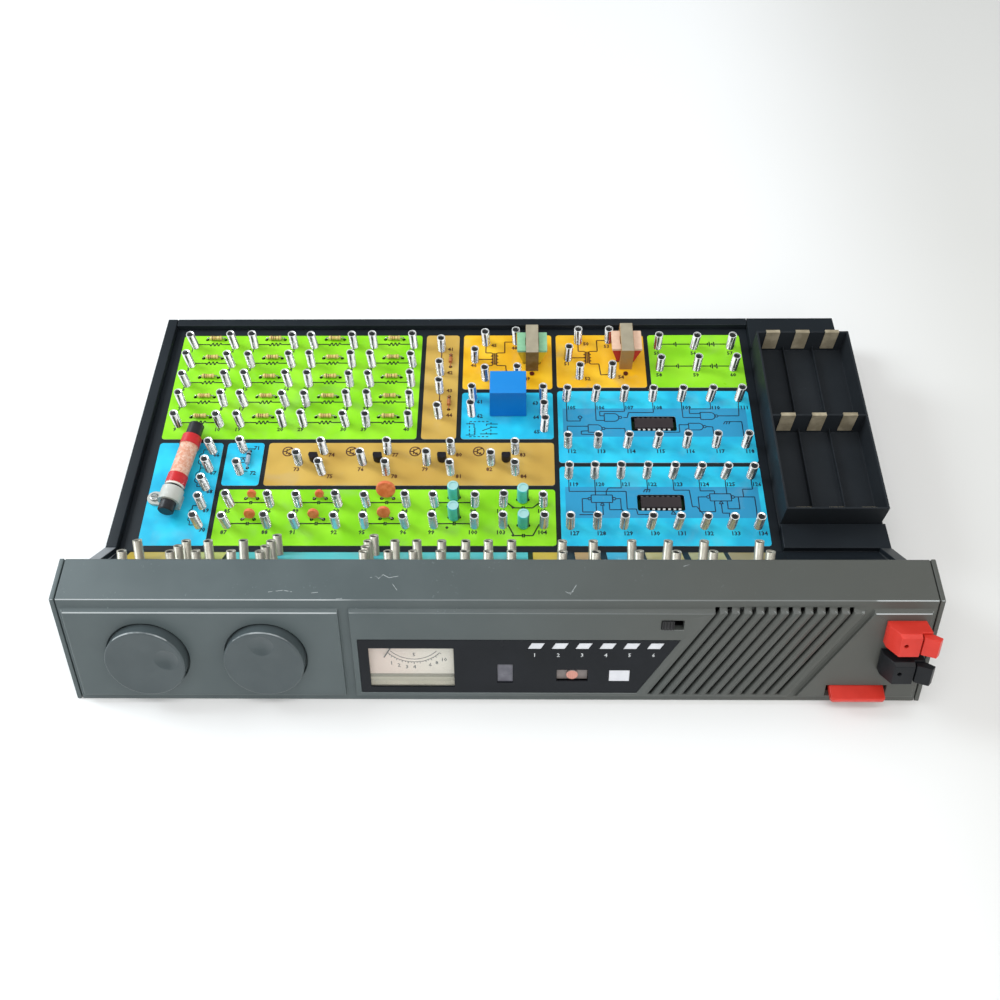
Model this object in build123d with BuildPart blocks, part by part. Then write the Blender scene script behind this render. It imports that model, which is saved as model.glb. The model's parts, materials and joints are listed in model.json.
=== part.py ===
from build123d import *
import os
from math import atan2, cos, hypot, pi, radians, sin

os.makedirs("parts", exist_ok=True)

# Millimetres, +X right, +Y back, +Z up, origin at the centre of the bounding box's bottom.

# ---------------------------------------------------------------- driving dimensions
# Whole object
console_w = 380.0       # over both end caps
console_h = 50.0
key_overhang = 3.5      # the code key reaches this far in front of the console
face_run = 25.0         # the front face leans back this far over its height
ridge_depth = 20.0      # level top of the console
ridge_lip = 3.0         # thickness of the top, which overhangs at the back
lip_overhang = 2.5
top_round = 0.8         # rounding of the console's top edges

# Console shell
wall = 1.8
cap_t = 2.0
cap_groove = 0.5        # open seam between the shell and an end cap
plug_wall = 1.6         # rim of an end cap that plugs into the shell
plug_depth = 4.0
fit_gap = 0.15          # clearance round a piece that seats in another
panel_rise = 1.8        # raised front panels
panel_inset = 1.0
panel_top = 4.3         # distances down the face start at its top edge
panel_foot = 53.2
panel_taper = 38.0
groove_x = -67.0        # upright groove between the knob panel and the middle panel
groove_w = 4.6

# Speaker grille
slot_count = 12
slot_pitch = 5.16
slot_w = 2.0
slot_x = 93.5
slot_top = 3.4
slot_knee = 5.8
slot_foot = 50.8
slot_slant = 25.9       # sideways run of a slot below its knee
grille_groove_x = 156.6
grille_groove_w = 4.2

# Black window with the meter, lamps and display behind it
window_left = -59.9
window_right = 80.2     # at its top edge; the right end slants like the slots
window_top = 20.1
window_foot = 50.2
window_t = 1.0
window_sink = 0.2
window_ledge = 1.6
meter_left, meter_right, meter_top, meter_foot = -55.4, -18.2, 25.1, 46.9
digit_left, digit_right, digit_top, digit_foot = 0.8, 7.8, 34.0, 44.4
sensor_left, sensor_right, sensor_top, sensor_foot = 27.0, 40.8, 37.0, 43.4
white_left, white_right, white_top, white_foot = 50.1, 59.3, 37.2, 43.6
lamp_count = 6
lamp_pitch = 10.35
lamp_x = 17.9
lamp_s = 23.7
lamp_w = 5.9
lamp_d = 3.4
lamp_slant = 1.9

# Meter movement
meter_back = 9.5        # the housing's back lies this far behind the face
meter_wall = 1.2
meter_top_s = 9.5
scale_depth = 3.1       # front of the scale behind the face
scale_t = 0.5
needle_clear = 0.4
meter_pivot_s = 12.5
needle_reach = 24.4
needle_rest = 31.0      # degrees to the left of upright, hanging from its pivot
needle_w = 0.5
needle_t = 0.4
pivot_r = 1.2
cover_t = 1.0

# Display board
pcb_t = 1.6
pcb_back = 8.0          # its back lies this far behind the face
pcb_top = 17.5
pcb_foot = 47.5
pcb_left, pcb_right = -14.5, 74.0
stake_r = 1.8
stake_pin_r = 0.9
stake_s = 19.4
stake_x = (-11.0, 31.0, 70.5)
sensor_r = 2.6

# Knobs
knob_r = 17.5
knob_s = 29.7
tuning_x = -152.3
control_x = -100.4
knob_h = 7.0            # front of a knob above the face
knob_gap = 0.6
knob_edge = 0.9
knob_seat = 0.2         # the round recess goes this far below the face
knob_clear = 0.4        # between the recess's floor and the knob
knob_dish = 0.6
knob_skin = 2.0
dimple_r = 5.4
dimple_deep = 1.1
dimple_reach = 9.4     # from the knob's axis
tuning_dimple = 12.0    # degrees, anticlockwise from +X
control_dimple = 90.0
hub_r = 5.0
shaft_r = 3.0
shaft_clear = 0.05
shaft_hole_clear = 0.4
shaft_len = 12.0

# Slide switch
switch_left, switch_right, switch_top, switch_foot = 71.2, 80.8, 9.4, 14.4
slider_w = 5.2
slider_rise = 2.4       # above the face
slider_gap = 0.2
switch_flange = 5.0
switch_deep = 8.0
slider_foot = 6.5

# Clip terminals and their levers
clip_left, clip_right = 166.6, 183.2
clip_front_right = 178.4
clip_s = 14.6           # middle of the upper clip, down the face
clip_pitch = 15.1
clip_d = 11.2
clip_base = 5.8         # heights above the face
clip_h = 12.4
clip_hole_x = 172.2
clip_hole_r = 0.9
clip_hole_deep = 8.0
clip_ear = 0.9
clip_ear_h = 9.9
clip_chamfer = 1.6
clip_stud_r = 1.5
clip_stud_deep = 4.0
clip_pin_r = 0.8
clip_pin_x = 181.0
clip_pin_h = 8.0
lever_barrel_r = 2.0
lever_gap = 0.12
lever_tip_out, lever_tip_h = 3.6, 14.7      # corners of its flap, out from its pin and above the face
lever_end_out, lever_end_h = 5.6, 12.5
lever_heel_out, lever_heel_h = 1.6, 9.0

# Code key
key_left, key_right = 147.8, 171.8
key_z = 9.9             # top of the key above the table
key_t = 2.8
key_pivot_y = -80.0
key_pin_r = 1.3
key_pin_len = 4.0
key_side_gap = 1.3
key_drop = 3.6          # height of the key's opening below the key
key_top_gap = 0.4
key_corner = 1.5
key_tail = 5.0          # behind its pivot
key_ear_t = 3.0
key_ear_gap = 0.5
key_stroke = 6.0        # degrees
contact_t = 0.4
contact_w = 6.0

# Speaker
speaker_x = 109.0
speaker_s = 27.0
speaker_r = 23.0
speaker_flange = 1.6
speaker_deep = 12.0
magnet_r = 11.0
magnet_t = 5.0

# Tray and deck
board_z = 20.0          # top of the printed cards
card_t = 0.3
deck_t = 2.2
rail_rise = 3.0         # the rails stand this far above the cards
rail_w = 5.3
back_rail_w = 4.8
tray_wing_inset = 3.0   # the tray starts this far inside the console's ends
tray_wing_flare = 3.0   # and narrows so much down the slope
tray_side_flare = 3.5   # and so much more to its back
piece_gap = 0.2         # between neighbouring pieces of the tray
slope_angle = 40.0
slope_run = 23.4        # the slope's depth seen from above
fold_margin = 2.6       # deck in front of the cards
cover_plate_t = 2.4
board_side_margin = 4.7 # deck beside the cards
board_back_margin = 4.7

# Printed cards
board_w = 300.0
board_d = 131.0
card_gap = 2.4
card_corner = 1.6
resistor_card_w = 129.3
diode_card_w = 17.7
transformer_card_w = 47.0
antenna_card_w = 32.2
germanium_card_w = 18.4
capacitor_card_d = 31.6
transistor_card_d = 25.6
relay_card_d = 29.6
logic_card_d = 45.1

# Spring terminals
spring_r = 2.1
spring_flare = 0.4      # the bore opens by this much at its mouth
spring_h = 10.1
slope_spring_h = 9.5
spring_bore = 1.4
spring_floor = 2.5
stem_r = 1.45
stem_gap = 0.3
stem_tail = 0.3         # the stems end this far below the deck
pin_r = 0.5
pin_tail = 1.0          # the pins end this far below the wiring board
slope_pin_len = 5.0
pin_gap = 0.5
spring_lift = 0.1
spring_lean = 2.2       # degrees, the largest lean of a terminal
slope_row_shares = (0.18, 0.4125, 0.648, 0.8576)    # of the slope's length, up from the fold
slope_places = {        # terminals along each row of the slope
    0: (-101.4, -56.5),
    1: (-164, -142, -131.6, -115.8, -102.5, -58.2, -46.2, -35.8, -25, -14, -3.2, 7.2,
        30, 44.5, 62.1, 78, 94.5, 119.8),
    2: (-143.2, -104, -58.3),
    3: (-166.7, -144.5, -133.2, -117.8, -104.4, -58.8, -47.6, -36.4, -24.2, -13.7, -3.5, 7,
        29.5, 44.2, 63.9, 79.8, 95.9, 121.1),
}

# Component leads
lead_r = 0.3
lead_hole_r = 0.9
lead_below = 2.0

# Components on the deck, with places from the front left corner of their card
resistor_up = 4.7       # a resistor lies this far behind its terminals
resistor_reach = 5.0    # lead bends either side of the body's middle
disc_places = [         # right, back, radius, and the sideways shift of the disc on its leads
    (16.3, 26.4, 2.2, 0.6), (49.8, 26.4, 2.2, 0), (82.7, 26.5, 4.7, -0.5),
    (16.2, 14.6, 2.7, 1.3), (49.7, 14.6, 2.7, -1.6), (82.7, 15.0, 3.2, -0.9),
]
disc_t = 2.0
disc_lift = 1.2
disc_spread = 2.9       # holes either side of a disc's middle
disc_root = 0.9         # leads either side of the middle where they enter the disc
disc_lean = 22.0        # degrees, how far the discs lean back
can_places = ((115.0, 27.0), (115.4, 15.8), (148.4, 25.8), (148.6, 11.3))
can_r = 2.8
can_h = 10.7
can_lift = 0.4
can_spread = 2.4
transistor_right, transistor_back = 23.7, 15.5
transistor_r = 2.3
transistor_h = 4.7
transistor_lift = 0.3
transistor_flat = 1.3   # its flat back behind its middle
transistor_spread = 1.27
diode_right = 13.4
diode_backs = (51.4, 23.0)
diode_reach = 4.2
germanium_place = (11.6, 15.4)
germanium_reach = 5.0
chip_len, chip_w, chip_h = 19.3, 6.4, 3.4
chip_hole_len, chip_hole_w = 22.9, 9.2
chip_hole_corner = 1.1
chip_place = (48.6, 24.1)
chip_leg_counts = (7, 8)
chip_pitch = 2.54

# Relay, transformers and aerial
relay_w, relay_d, relay_h = 18.9, 14.9, 18.6
relay_draft = 1.0       # degrees
relay_place = (23.9, 21.6)
relay_pin_x, relay_pin_y = 7.0, 5.0
relay_pin_r = 0.4
core_w, core_d, core_h = 6.6, 19.0, 15.0
core_place = (36.4, 21.7)
bobbin_w = 15.6
bobbin_pin_x, bobbin_pin_y = 4.0, 3.6
bobbin_pin_r = 0.4
rod_r = 3.8
rod_len = 51.8
rod_turn = 7.3          # degrees, the rod's slant on its card
rod_lift = 6.3          # axis above the card
rod_place = (15.8, 40.7)
coil_r = 4.4
coil_len = 29.7
coil_shift = 3.05
band_r = 4.8
band_len = 5.5
band_lip = 0.9          # bare paper beyond the front band
clip_ring_r = 5.3
clip_ring_len = 7.3
clip_ring_shift = -17.0
clip_foot_t = 1.6
clip_ear_r = 3.6
clip_ear_shift = 0.8    # its ear stands this far behind the ring's middle
clip_screw_out = 4.5    # the clip's screw stands this far outside its ring
clip_screw_r = 0.7
clip_screw_head_r = 2.2

# Battery box
cell_len = 50.5
bay_pitch = 15.2
bay_rib_w = 0.6
bay_count = 3
cell_play = 2.3
box_wall = 1.0
box_rim_z = 36.0
box_floor_t = 1.5
box_drop = 2.5          # its seat lies this far below the rails
box_left_inset = 0.1
box_front_y = -23.4
bay_rib_h = 3.0
leaf_w = 7.0
leaf_t = 0.4
leaf_drop = 12.0
leaf_hook = 1.6
strip_gap = 0.8         # front strips stand this far behind their wall
strip_drop = 2.0
leaf_clear = 0.05

# Screws
screw_r = 1.5
screw_head_r = 2.9
screw_head_t = 1.2
screw_len = 9.0
screw_gap = 0.15
boss_r = 3.5
boss_neck_r = 2.5       # below the wiring board
boss_play = 0.2
console_boss_y = -70.0
console_boss_x = (-130.0, -72.0, 77.0, 140.0)

# Wiring board under the deck
wiring_t = 1.6
wiring_drop = 3.0

# ---------------------------------------------------------------- worked-out sizes
board_reach = fold_margin + board_d + board_back_margin + back_rail_w
body_depth = face_run + ridge_depth - lip_overhang + slope_run + board_reach
front_y = key_overhang - (body_depth + key_overhang) / 2
back_y = front_y + body_depth
face_top_y = front_y + face_run
ridge_back_y = face_top_y + ridge_depth
rear_wall_y = ridge_back_y - lip_overhang
half_w = console_w / 2
tray_wing_half = half_w - tray_wing_inset
tray_fold_half = tray_wing_half - tray_wing_flare
tray_back_half = tray_fold_half - tray_side_flare
shell_half = half_w - cap_t - cap_groove
face_len = hypot(face_run, console_h)
lean = atan2(face_run, console_h)

deck_z = board_z - card_t
rail_z = board_z + rail_rise
deck_foot = deck_z - deck_t
slope = radians(slope_angle)
board_back = back_y - back_rail_w - board_back_margin
board_front = board_back - board_d
fold_y = board_front - fold_margin
board_left = -(tray_back_half - rail_w - board_side_margin)
board_right = board_left + board_w
frame_x = board_right + board_side_margin
slope_len = (fold_y - rear_wall_y) / cos(slope)

face_plane = Plane(
    origin=(0, face_top_y, console_h),
    x_dir=(1, 0, 0),
    z_dir=(0, -cos(lean), sin(lean)),
)
slope_plane = Plane(
    origin=(0, fold_y, deck_z),
    x_dir=(1, 0, 0),
    z_dir=(0, sin(slope), cos(slope)),
)


def face_offset(height):
    """The plane at a height above the console's front face."""
    return face_plane.offset(height)


def clip_plane(s):
    """A plane across the face at a distance down it: X to the right, Y away from it."""
    point = face_plane.from_local_coords((0, -s, 0))
    down = (0, -sin(lean), -cos(lean))
    return Plane(origin=point, x_dir=(1, 0, 0), z_dir=down)


def box_between(left, top, right, foot):
    """A rectangle on the face, from distances down it."""
    with Locations(((left + right) / 2, -(top + foot) / 2)):
        Rectangle(right - left, foot - top)


def slant_at(s):
    """Sideways shift of the slots and of the window's end at a distance down the face."""
    return -slot_slant * (s - slot_knee) / (slot_foot - slot_knee)


def lamp_outline(middle, gap):
    """Corners of a slanted lamp lens, drawn in by a gap on every side."""
    half_w_lamp = lamp_w / 2 - gap
    half_d = lamp_d / 2 - gap
    shift = lamp_slant / 2 * half_d / (lamp_d / 2)
    return [
        (middle - half_w_lamp + shift, -lamp_s + half_d),
        (middle + half_w_lamp + shift, -lamp_s + half_d),
        (middle + half_w_lamp - shift, -lamp_s - half_d),
        (middle - half_w_lamp - shift, -lamp_s - half_d),
    ]


def side_x(y):
    """Half width of the tray at y: it widens to the fold, then flares to the console."""
    if y >= fold_y:
        share = (back_y - y) / (back_y - fold_y)
        return tray_back_half + (tray_fold_half - tray_back_half) * share
    share = (fold_y - y) / (fold_y - rear_wall_y)
    return tray_fold_half + (tray_wing_half - tray_fold_half) * share


def save(part, name):
    """Label a finished piece and write it."""
    part.label = name
    export_step(part, f"parts/{name}.step")


# ---------------------------------------------------------------- printed card layout
top_left = board_left + resistor_card_w + card_gap
input_left = top_left + diode_card_w + card_gap
output_left = input_left + transformer_card_w + card_gap
battery_left = output_left + transformer_card_w + card_gap
germanium_left = board_left + antenna_card_w + card_gap
transistor_left = germanium_left + germanium_card_w + card_gap
transistor_front = board_front + capacitor_card_d + card_gap
upper_front = transistor_front + transistor_card_d + card_gap
input_front = upper_front + relay_card_d + card_gap
logic_front = board_front + logic_card_d + card_gap
output_front = logic_front + logic_card_d + card_gap
middle_right = output_left - card_gap

# name: (left, front, right, back)
cards = {
    "resistors": (board_left, upper_front, top_left - card_gap, board_back),
    "silicon": (top_left, upper_front, input_left - card_gap, board_back),
    "input": (input_left, input_front, middle_right, board_back),
    "output": (output_left, output_front, battery_left - card_gap, board_back),
    "batteries": (battery_left, output_front, board_right, board_back),
    "relay": (input_left, upper_front, middle_right, input_front - card_gap),
    "logic_a": (output_left, logic_front, board_right, output_front - card_gap),
    "logic_b": (output_left, board_front, board_right, logic_front - card_gap),
    "antenna": (board_left, board_front, germanium_left - card_gap, upper_front - card_gap),
    "germanium": (
        germanium_left, transistor_front, transistor_left - card_gap, upper_front - card_gap,
    ),
    "transistors": (transistor_left, transistor_front, middle_right, upper_front - card_gap),
    "capacitors": (germanium_left, board_front, middle_right, transistor_front - card_gap),
}
card_nodes = {
    "green_cards": ("resistors", "batteries", "capacitors"),
    "blue_cards": ("relay", "logic_a", "logic_b", "antenna", "germanium"),
    "amber_cards": ("input", "output"),
    "tan_cards": ("silicon", "transistors"),
}


def on_card(card, right, back):
    """A point on a card, measured from its front left corner."""
    left, front = cards[card][0], cards[card][1]
    return (left + right, front + back)


def grid(card, right, back, across, deep, columns, rows):
    """Rows of points on a card, from its front left corner."""
    return [
        on_card(card, right + column * across, back + row * deep)
        for row in range(rows)
        for column in range(columns)
    ]


# Spring terminals, by card
resistor_pitch, resistor_row, resistor_span = 32.2, 13.1, 21.5
resistor_points = grid("resistors", 6.9, 9.2, resistor_pitch, resistor_row, 4, 5)
resistor_springs = resistor_points + [(x + resistor_span, y) for x, y in resistor_points]
diode_springs = [on_card("silicon", 8.4, back) for back in (14.4, 30.6, 42.7, 59)]
germanium_springs = [on_card("germanium", 8.3, back) for back in (7.8, 21.2)]
transistor_pitch = 31.9
transistor_first = [(16.2, 13.4), (28.2, 20.1), (28.2, 7.6)]
transistor_springs = [
    on_card("transistors", right + column * transistor_pitch, back)
    for column in range(4)
    for right, back in transistor_first
]
coil_ends = [(11.9, 31.2), (6.2, 19.4), (11.9, 7.1), (28.3, 31.9), (28.9, 7.9)]
transformer_springs = [
    on_card(card, right, back) for card in ("input", "output") for right, back in coil_ends
]
relay_springs = [
    on_card("relay", right, back)
    for right, back in ((5.7, 26), (5.3, 15.5), (42.1, 26.3), (42.2, 16.2), (42.2, 6.1))
]
battery_springs = grid("batteries", 5.0, 12.6, 19.3, 14.9, 3, 2)
antenna_springs = grid("antenna", 27.5, 11.0, 0, 10.85, 1, 5)
capacitor_pitch, capacitor_span = 33.1, 19.4
capacitor_points = grid("capacitors", 6.5, 11.1, capacitor_pitch, 11.9, 5, 2)
capacitor_springs = capacitor_points + [(x + capacitor_span, y) for x, y in capacitor_points]
logic_springs = (
    grid("logic_a", 4.6, 10.5, 14.8, 29.4, 7, 2) + grid("logic_b", 4.4, 10.8, 12.75, 28.7, 8, 2)
)

slope_rows = [share * slope_len for share in slope_row_shares]
slope_springs = [(x, slope_rows[row]) for row, places in slope_places.items() for x in places]

# Component places: middle of the body on the board
resistor_places = [(x + resistor_span / 2, y + resistor_up) for x, y in resistor_points]
disc_points = [on_card("capacitors", right, back) for right, back, _, _ in disc_places]
can_points = [on_card("capacitors", right, back) for right, back in can_places]
transistor_points = [
    on_card("transistors", transistor_right + column * transistor_pitch, transistor_back)
    for column in range(4)
]
diode_points = [on_card("silicon", diode_right, back) for back in diode_backs]
germanium_point = on_card("germanium", *germanium_place)
chip_points = [on_card(card, *chip_place) for card in ("logic_a", "logic_b")]

# Relay, transformers and aerial
relay_point = on_card("relay", *relay_place)
core_points = [on_card(card, *core_place) for card in ("input", "output")]
rod_point = on_card("antenna", *rod_place)

rod_angle = radians(90 - rod_turn)


def along_rod(distance):
    """A point under the aerial's axis, measured from the rod's middle towards its back end."""
    return (rod_point[0] + distance * cos(rod_angle), rod_point[1] + distance * sin(rod_angle))


clip_ring_x, clip_ring_y = along_rod(clip_ring_shift)
clip_ear_x, clip_ear_y = along_rod(clip_ring_shift + clip_ear_shift)
clip_ear_len = clip_ring_r + clip_screw_out
clip_screw_point = (
    clip_ear_x - clip_ear_len * sin(rod_angle),
    clip_ear_y + clip_ear_len * cos(rod_angle),
)
clip_ear_middle = (
    (clip_ear_x + clip_screw_point[0]) / 2,
    (clip_ear_y + clip_screw_point[1]) / 2,
)
relay_pins = [
    (relay_point[0] + across * relay_pin_x, relay_point[1] + deep * relay_pin_y)
    for across in (-1, 1)
    for deep in (-1, 1)
]
bobbin_pins = [
    (x + across * bobbin_pin_x, y + deep * bobbin_pin_y)
    for x, y in core_points
    for across in (-1, 1)
    for deep in (-1, 1)
]
lead_points = (
    [(x + side * resistor_reach, y) for x, y in resistor_places for side in (-1, 1)]
    + [(x + side * disc_spread, y) for x, y in disc_points for side in (-1, 1)]
    + [(x + side * can_spread, y) for x, y in can_points for side in (-1, 1)]
    + [(x + step * transistor_spread, y) for x, y in transistor_points for step in (-1, 0, 1)]
    + [(x, y + side * diode_reach) for x, y in diode_points for side in (-1, 1)]
    + [(germanium_point[0], germanium_point[1] + side * germanium_reach) for side in (-1, 1)]
    + relay_pins
    + bobbin_pins
    + [clip_screw_point]
)
deck_springs = (
    resistor_springs + diode_springs + germanium_springs + transistor_springs
    + transformer_springs + relay_springs + battery_springs + antenna_springs
    + capacitor_springs + logic_springs
)

# ---------------------------------------------------------------- console shell
slant_foot = window_right + slant_at(window_foot) - slant_at(window_top)
window_outline = [
    (window_left, -window_top),
    (window_right, -window_top),
    (slant_foot, -window_foot),
    (window_left, -window_foot),
]
inner_top = console_h - ridge_lip
inner_run = wall / cos(lean)        # the wall's thickness measured level
clip_points = [(clip_hole_x, -(clip_s + number * clip_pitch)) for number in range(2)]
console_boss_points = [(x, console_boss_y) for x in console_boss_x]
stake_points = [(x, -stake_s) for x in stake_x]
shell_foot_z = 0.0
rear_foot_z = deck_z + slope_len * sin(slope) - deck_t / cos(slope)

with BuildPart() as console_shell:
    with BuildSketch(Plane.YZ.offset(-shell_half)) as shell_outline:
        with BuildLine():
            Polyline(
                (front_y, shell_foot_z),
                (face_top_y, console_h),
                (ridge_back_y, console_h),
                (ridge_back_y, inner_top),
                (rear_wall_y, inner_top),
                (rear_wall_y, rear_foot_z),
                (rear_wall_y - wall, rear_foot_z),
                (rear_wall_y - wall, inner_top),
                (front_y + inner_run + face_run * inner_top / console_h, inner_top),
                (front_y + inner_run, shell_foot_z),
                close=True,
            )
        make_face()
        top_corners = shell_outline.vertices().group_by(Axis.Y)[-1]
        fillet(top_corners, radius=top_round)
    extrude(amount=2 * shell_half)
    # Raised front panels, with grooves between them
    with BuildSketch(face_plane):
        box_between(-shell_half + panel_inset, panel_top, shell_half - panel_inset, panel_foot)
    extrude(amount=panel_rise, taper=panel_taper)
    with BuildSketch(face_offset(panel_rise)):
        box_between(groove_x, 0, groove_x + groove_w, face_len)
        with BuildLine():
            left_top = grille_groove_x
            left_foot = grille_groove_x + slant_at(face_len)
            Polyline(
                (left_top, 0),
                (left_top + grille_groove_w, 0),
                (left_top + grille_groove_w, -slot_knee),
                (left_foot + grille_groove_w, -face_len),
                (left_foot, -face_len),
                (left_top, -slot_knee),
                close=True,
            )
        make_face()
    extrude(amount=-panel_rise, mode=Mode.SUBTRACT)
    # Speaker slots
    with BuildSketch(face_offset(panel_rise)):
        for number in range(slot_count):
            left = slot_x + number * slot_pitch
            foot = left - slot_slant
            with BuildLine():
                Polyline(
                    (left, -slot_top),
                    (left + slot_w, -slot_top),
                    (left + slot_w, -slot_knee),
                    (foot + slot_w, -slot_foot),
                    (foot, -slot_foot),
                    (left, -slot_knee),
                    close=True,
                )
            make_face()
    extrude(amount=-2 * (panel_rise + wall), mode=Mode.SUBTRACT)
    # Seat of the black window, and the opening behind it
    with BuildSketch(face_offset(panel_rise)):
        with BuildLine():
            Polyline(*window_outline, close=True)
        window_face = make_face()
    extrude(amount=-window_t - window_sink, mode=Mode.SUBTRACT)
    with BuildSketch(face_offset(panel_rise)):
        add(window_face)
        offset(amount=-window_ledge, kind=Kind.INTERSECTION, mode=Mode.REPLACE)
    extrude(amount=-2 * (panel_rise + wall), mode=Mode.SUBTRACT)
    # Round seats and shaft holes of the knobs
    with BuildSketch(face_offset(panel_rise)):
        with Locations((tuning_x, -knob_s), (control_x, -knob_s)):
            Circle(knob_r + knob_gap)
    extrude(amount=-panel_rise - knob_seat, mode=Mode.SUBTRACT)
    with BuildSketch(face_plane):
        with Locations((tuning_x, -knob_s), (control_x, -knob_s)):
            Circle(shaft_r + shaft_hole_clear)
    extrude(amount=wall, both=True, mode=Mode.SUBTRACT)
    # Switch opening and code key opening
    with BuildSketch(face_offset(panel_rise)):
        box_between(switch_left, switch_top, switch_right, switch_foot)
    extrude(amount=-2 * (panel_rise + wall), mode=Mode.SUBTRACT)
    with BuildSketch(Plane.XY.offset(key_z - key_t - key_drop)):
        with Locations(((key_left + key_right) / 2, front_y)):
            Rectangle(key_right - key_left + 2 * key_side_gap, 4 * face_run * key_z / console_h)
    extrude(amount=key_t + key_drop + key_top_gap, mode=Mode.SUBTRACT)
    # Holes of the clip terminals' studs
    with BuildSketch(face_offset(panel_rise)):
        with Locations(*clip_points):
            Circle(clip_stud_r + screw_gap)
    extrude(amount=-2 * (panel_rise + wall), mode=Mode.SUBTRACT)
    # Screw bosses, and stakes that carry the display board
    with BuildSketch(Plane.XY.offset(cover_plate_t)):
        with Locations(*console_boss_points):
            Circle(boss_r)
            Circle(screw_r + screw_gap, mode=Mode.SUBTRACT)
    extrude(amount=screw_len)
    with BuildSketch(Plane.XY.offset(cover_plate_t + screw_len)):
        with Locations(*console_boss_points):
            Circle(boss_r)
    extrude(until=Until.NEXT)
    with BuildSketch(face_offset(-wall)):
        with Locations(*stake_points):
            Circle(stake_r)
    extrude(amount=-(pcb_back - pcb_t - wall))
    with BuildSketch(face_offset(-wall)):
        with Locations(*stake_points):
            Circle(stake_pin_r)
    extrude(amount=-(pcb_back - wall + stake_pin_r))
save(console_shell.part, "console_shell")

# ---------------------------------------------------------------- end caps
console_side = [
    (front_y, shell_foot_z),
    (face_top_y, console_h),
    (ridge_back_y, console_h),
    (ridge_back_y, inner_top),
    (rear_wall_y, inner_top),
    (rear_wall_y, shell_foot_z),
]
cavity_side = [
    (front_y + inner_run + face_run * cover_plate_t / console_h, cover_plate_t),
    (front_y + inner_run + face_run * inner_top / console_h, inner_top),
    (rear_wall_y - wall, inner_top),
    (rear_wall_y - wall, cover_plate_t),
]

with BuildPart() as end_cap_left:
    with BuildSketch(Plane.YZ.offset(-half_w)):
        with BuildLine():
            Polyline(*console_side, close=True)
        make_face()
    extrude(amount=cap_t)
    with BuildSketch(Plane.YZ.offset(-half_w + cap_t)):
        with BuildLine():
            Polyline(*cavity_side, close=True)
        cavity = make_face()
        offset(amount=-fit_gap, kind=Kind.INTERSECTION, mode=Mode.REPLACE)
        offset(amount=-plug_wall, kind=Kind.INTERSECTION, mode=Mode.SUBTRACT)
    extrude(amount=cap_groove + plug_depth)
save(end_cap_left.part, "end_cap_left")

with BuildPart() as end_cap_right:
    add(mirror(end_cap_left.part, about=Plane.YZ))
save(end_cap_right.part, "end_cap_right")

# ---------------------------------------------------------------- tray
wing_y = rear_wall_y + piece_gap
wing_z = rail_z + (fold_y - wing_y) * sin(slope) / cos(slope)
slope_end_z = deck_z + (fold_y - wing_y) * sin(slope) / cos(slope)
skin_drop = deck_t / cos(slope)
fold_under = fold_y - deck_t * (1 - cos(slope)) / sin(slope)
deck_back = back_y - back_rail_w - piece_gap
deck_right = frame_x - piece_gap
seat_z = rail_z - box_drop
box_w = bay_count * bay_pitch + 2 * box_wall
box_len = 2 * (cell_len + cell_play) + 3 * box_wall
box_back_y = box_front_y + box_len
box_left = frame_x + box_left_inset
wiring_top = deck_foot - wiring_drop

# Screw bosses stand where the printed cards leave room: between cards, or between springs
deck_boss_points = [
    (resistor_points[0][0] + resistor_span / 2, board_back - 10.0),
    (top_left - card_gap / 2, upper_front - card_gap / 2),
    (output_left - card_gap / 2, output_front - card_gap / 2),
    (output_left - card_gap / 2, board_front + 18.0),
    (germanium_left - card_gap / 2, board_front + 14.0),
    (board_right + 0.5, output_front),
    (board_right + 0.5, board_front + 28.0),
]


def tray_side(side):
    """Outline of a side rail seen from above."""
    ys = (back_y, fold_y, wing_y)
    outer = [(side * side_x(y), y) for y in ys]
    inner = [(side * (side_x(y) - rail_w), y) for y in reversed(ys)]
    return outer + inner


rail_side = [
    (back_y, cover_plate_t),
    (back_y, rail_z),
    (fold_y, rail_z),
    (wing_y, wing_z),
    (wing_y, cover_plate_t),
]

with BuildPart() as tray_rail_left:
    with BuildSketch(Plane.XY.offset(cover_plate_t)):
        with BuildLine():
            Polyline(*tray_side(-1), close=True)
        make_face()
    extrude(amount=console_h)
    with BuildSketch(Plane.YZ.offset(-half_w)):
        with BuildLine():
            Polyline(*rail_side, close=True)
        make_face()
    extrude(amount=half_w, mode=Mode.INTERSECT)
save(tray_rail_left.part, "tray_rail_left")

with BuildPart() as tray_rail_back:
    rail_left = -(side_x(back_y) - rail_w) + piece_gap
    with BuildSketch(Plane.XY.offset(cover_plate_t)):
        with Locations(((rail_left + deck_right) / 2, back_y - back_rail_w / 2)):
            Rectangle(deck_right - rail_left, back_rail_w)
    extrude(amount=rail_z - cover_plate_t)
save(tray_rail_back.part, "tray_rail_back")

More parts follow.
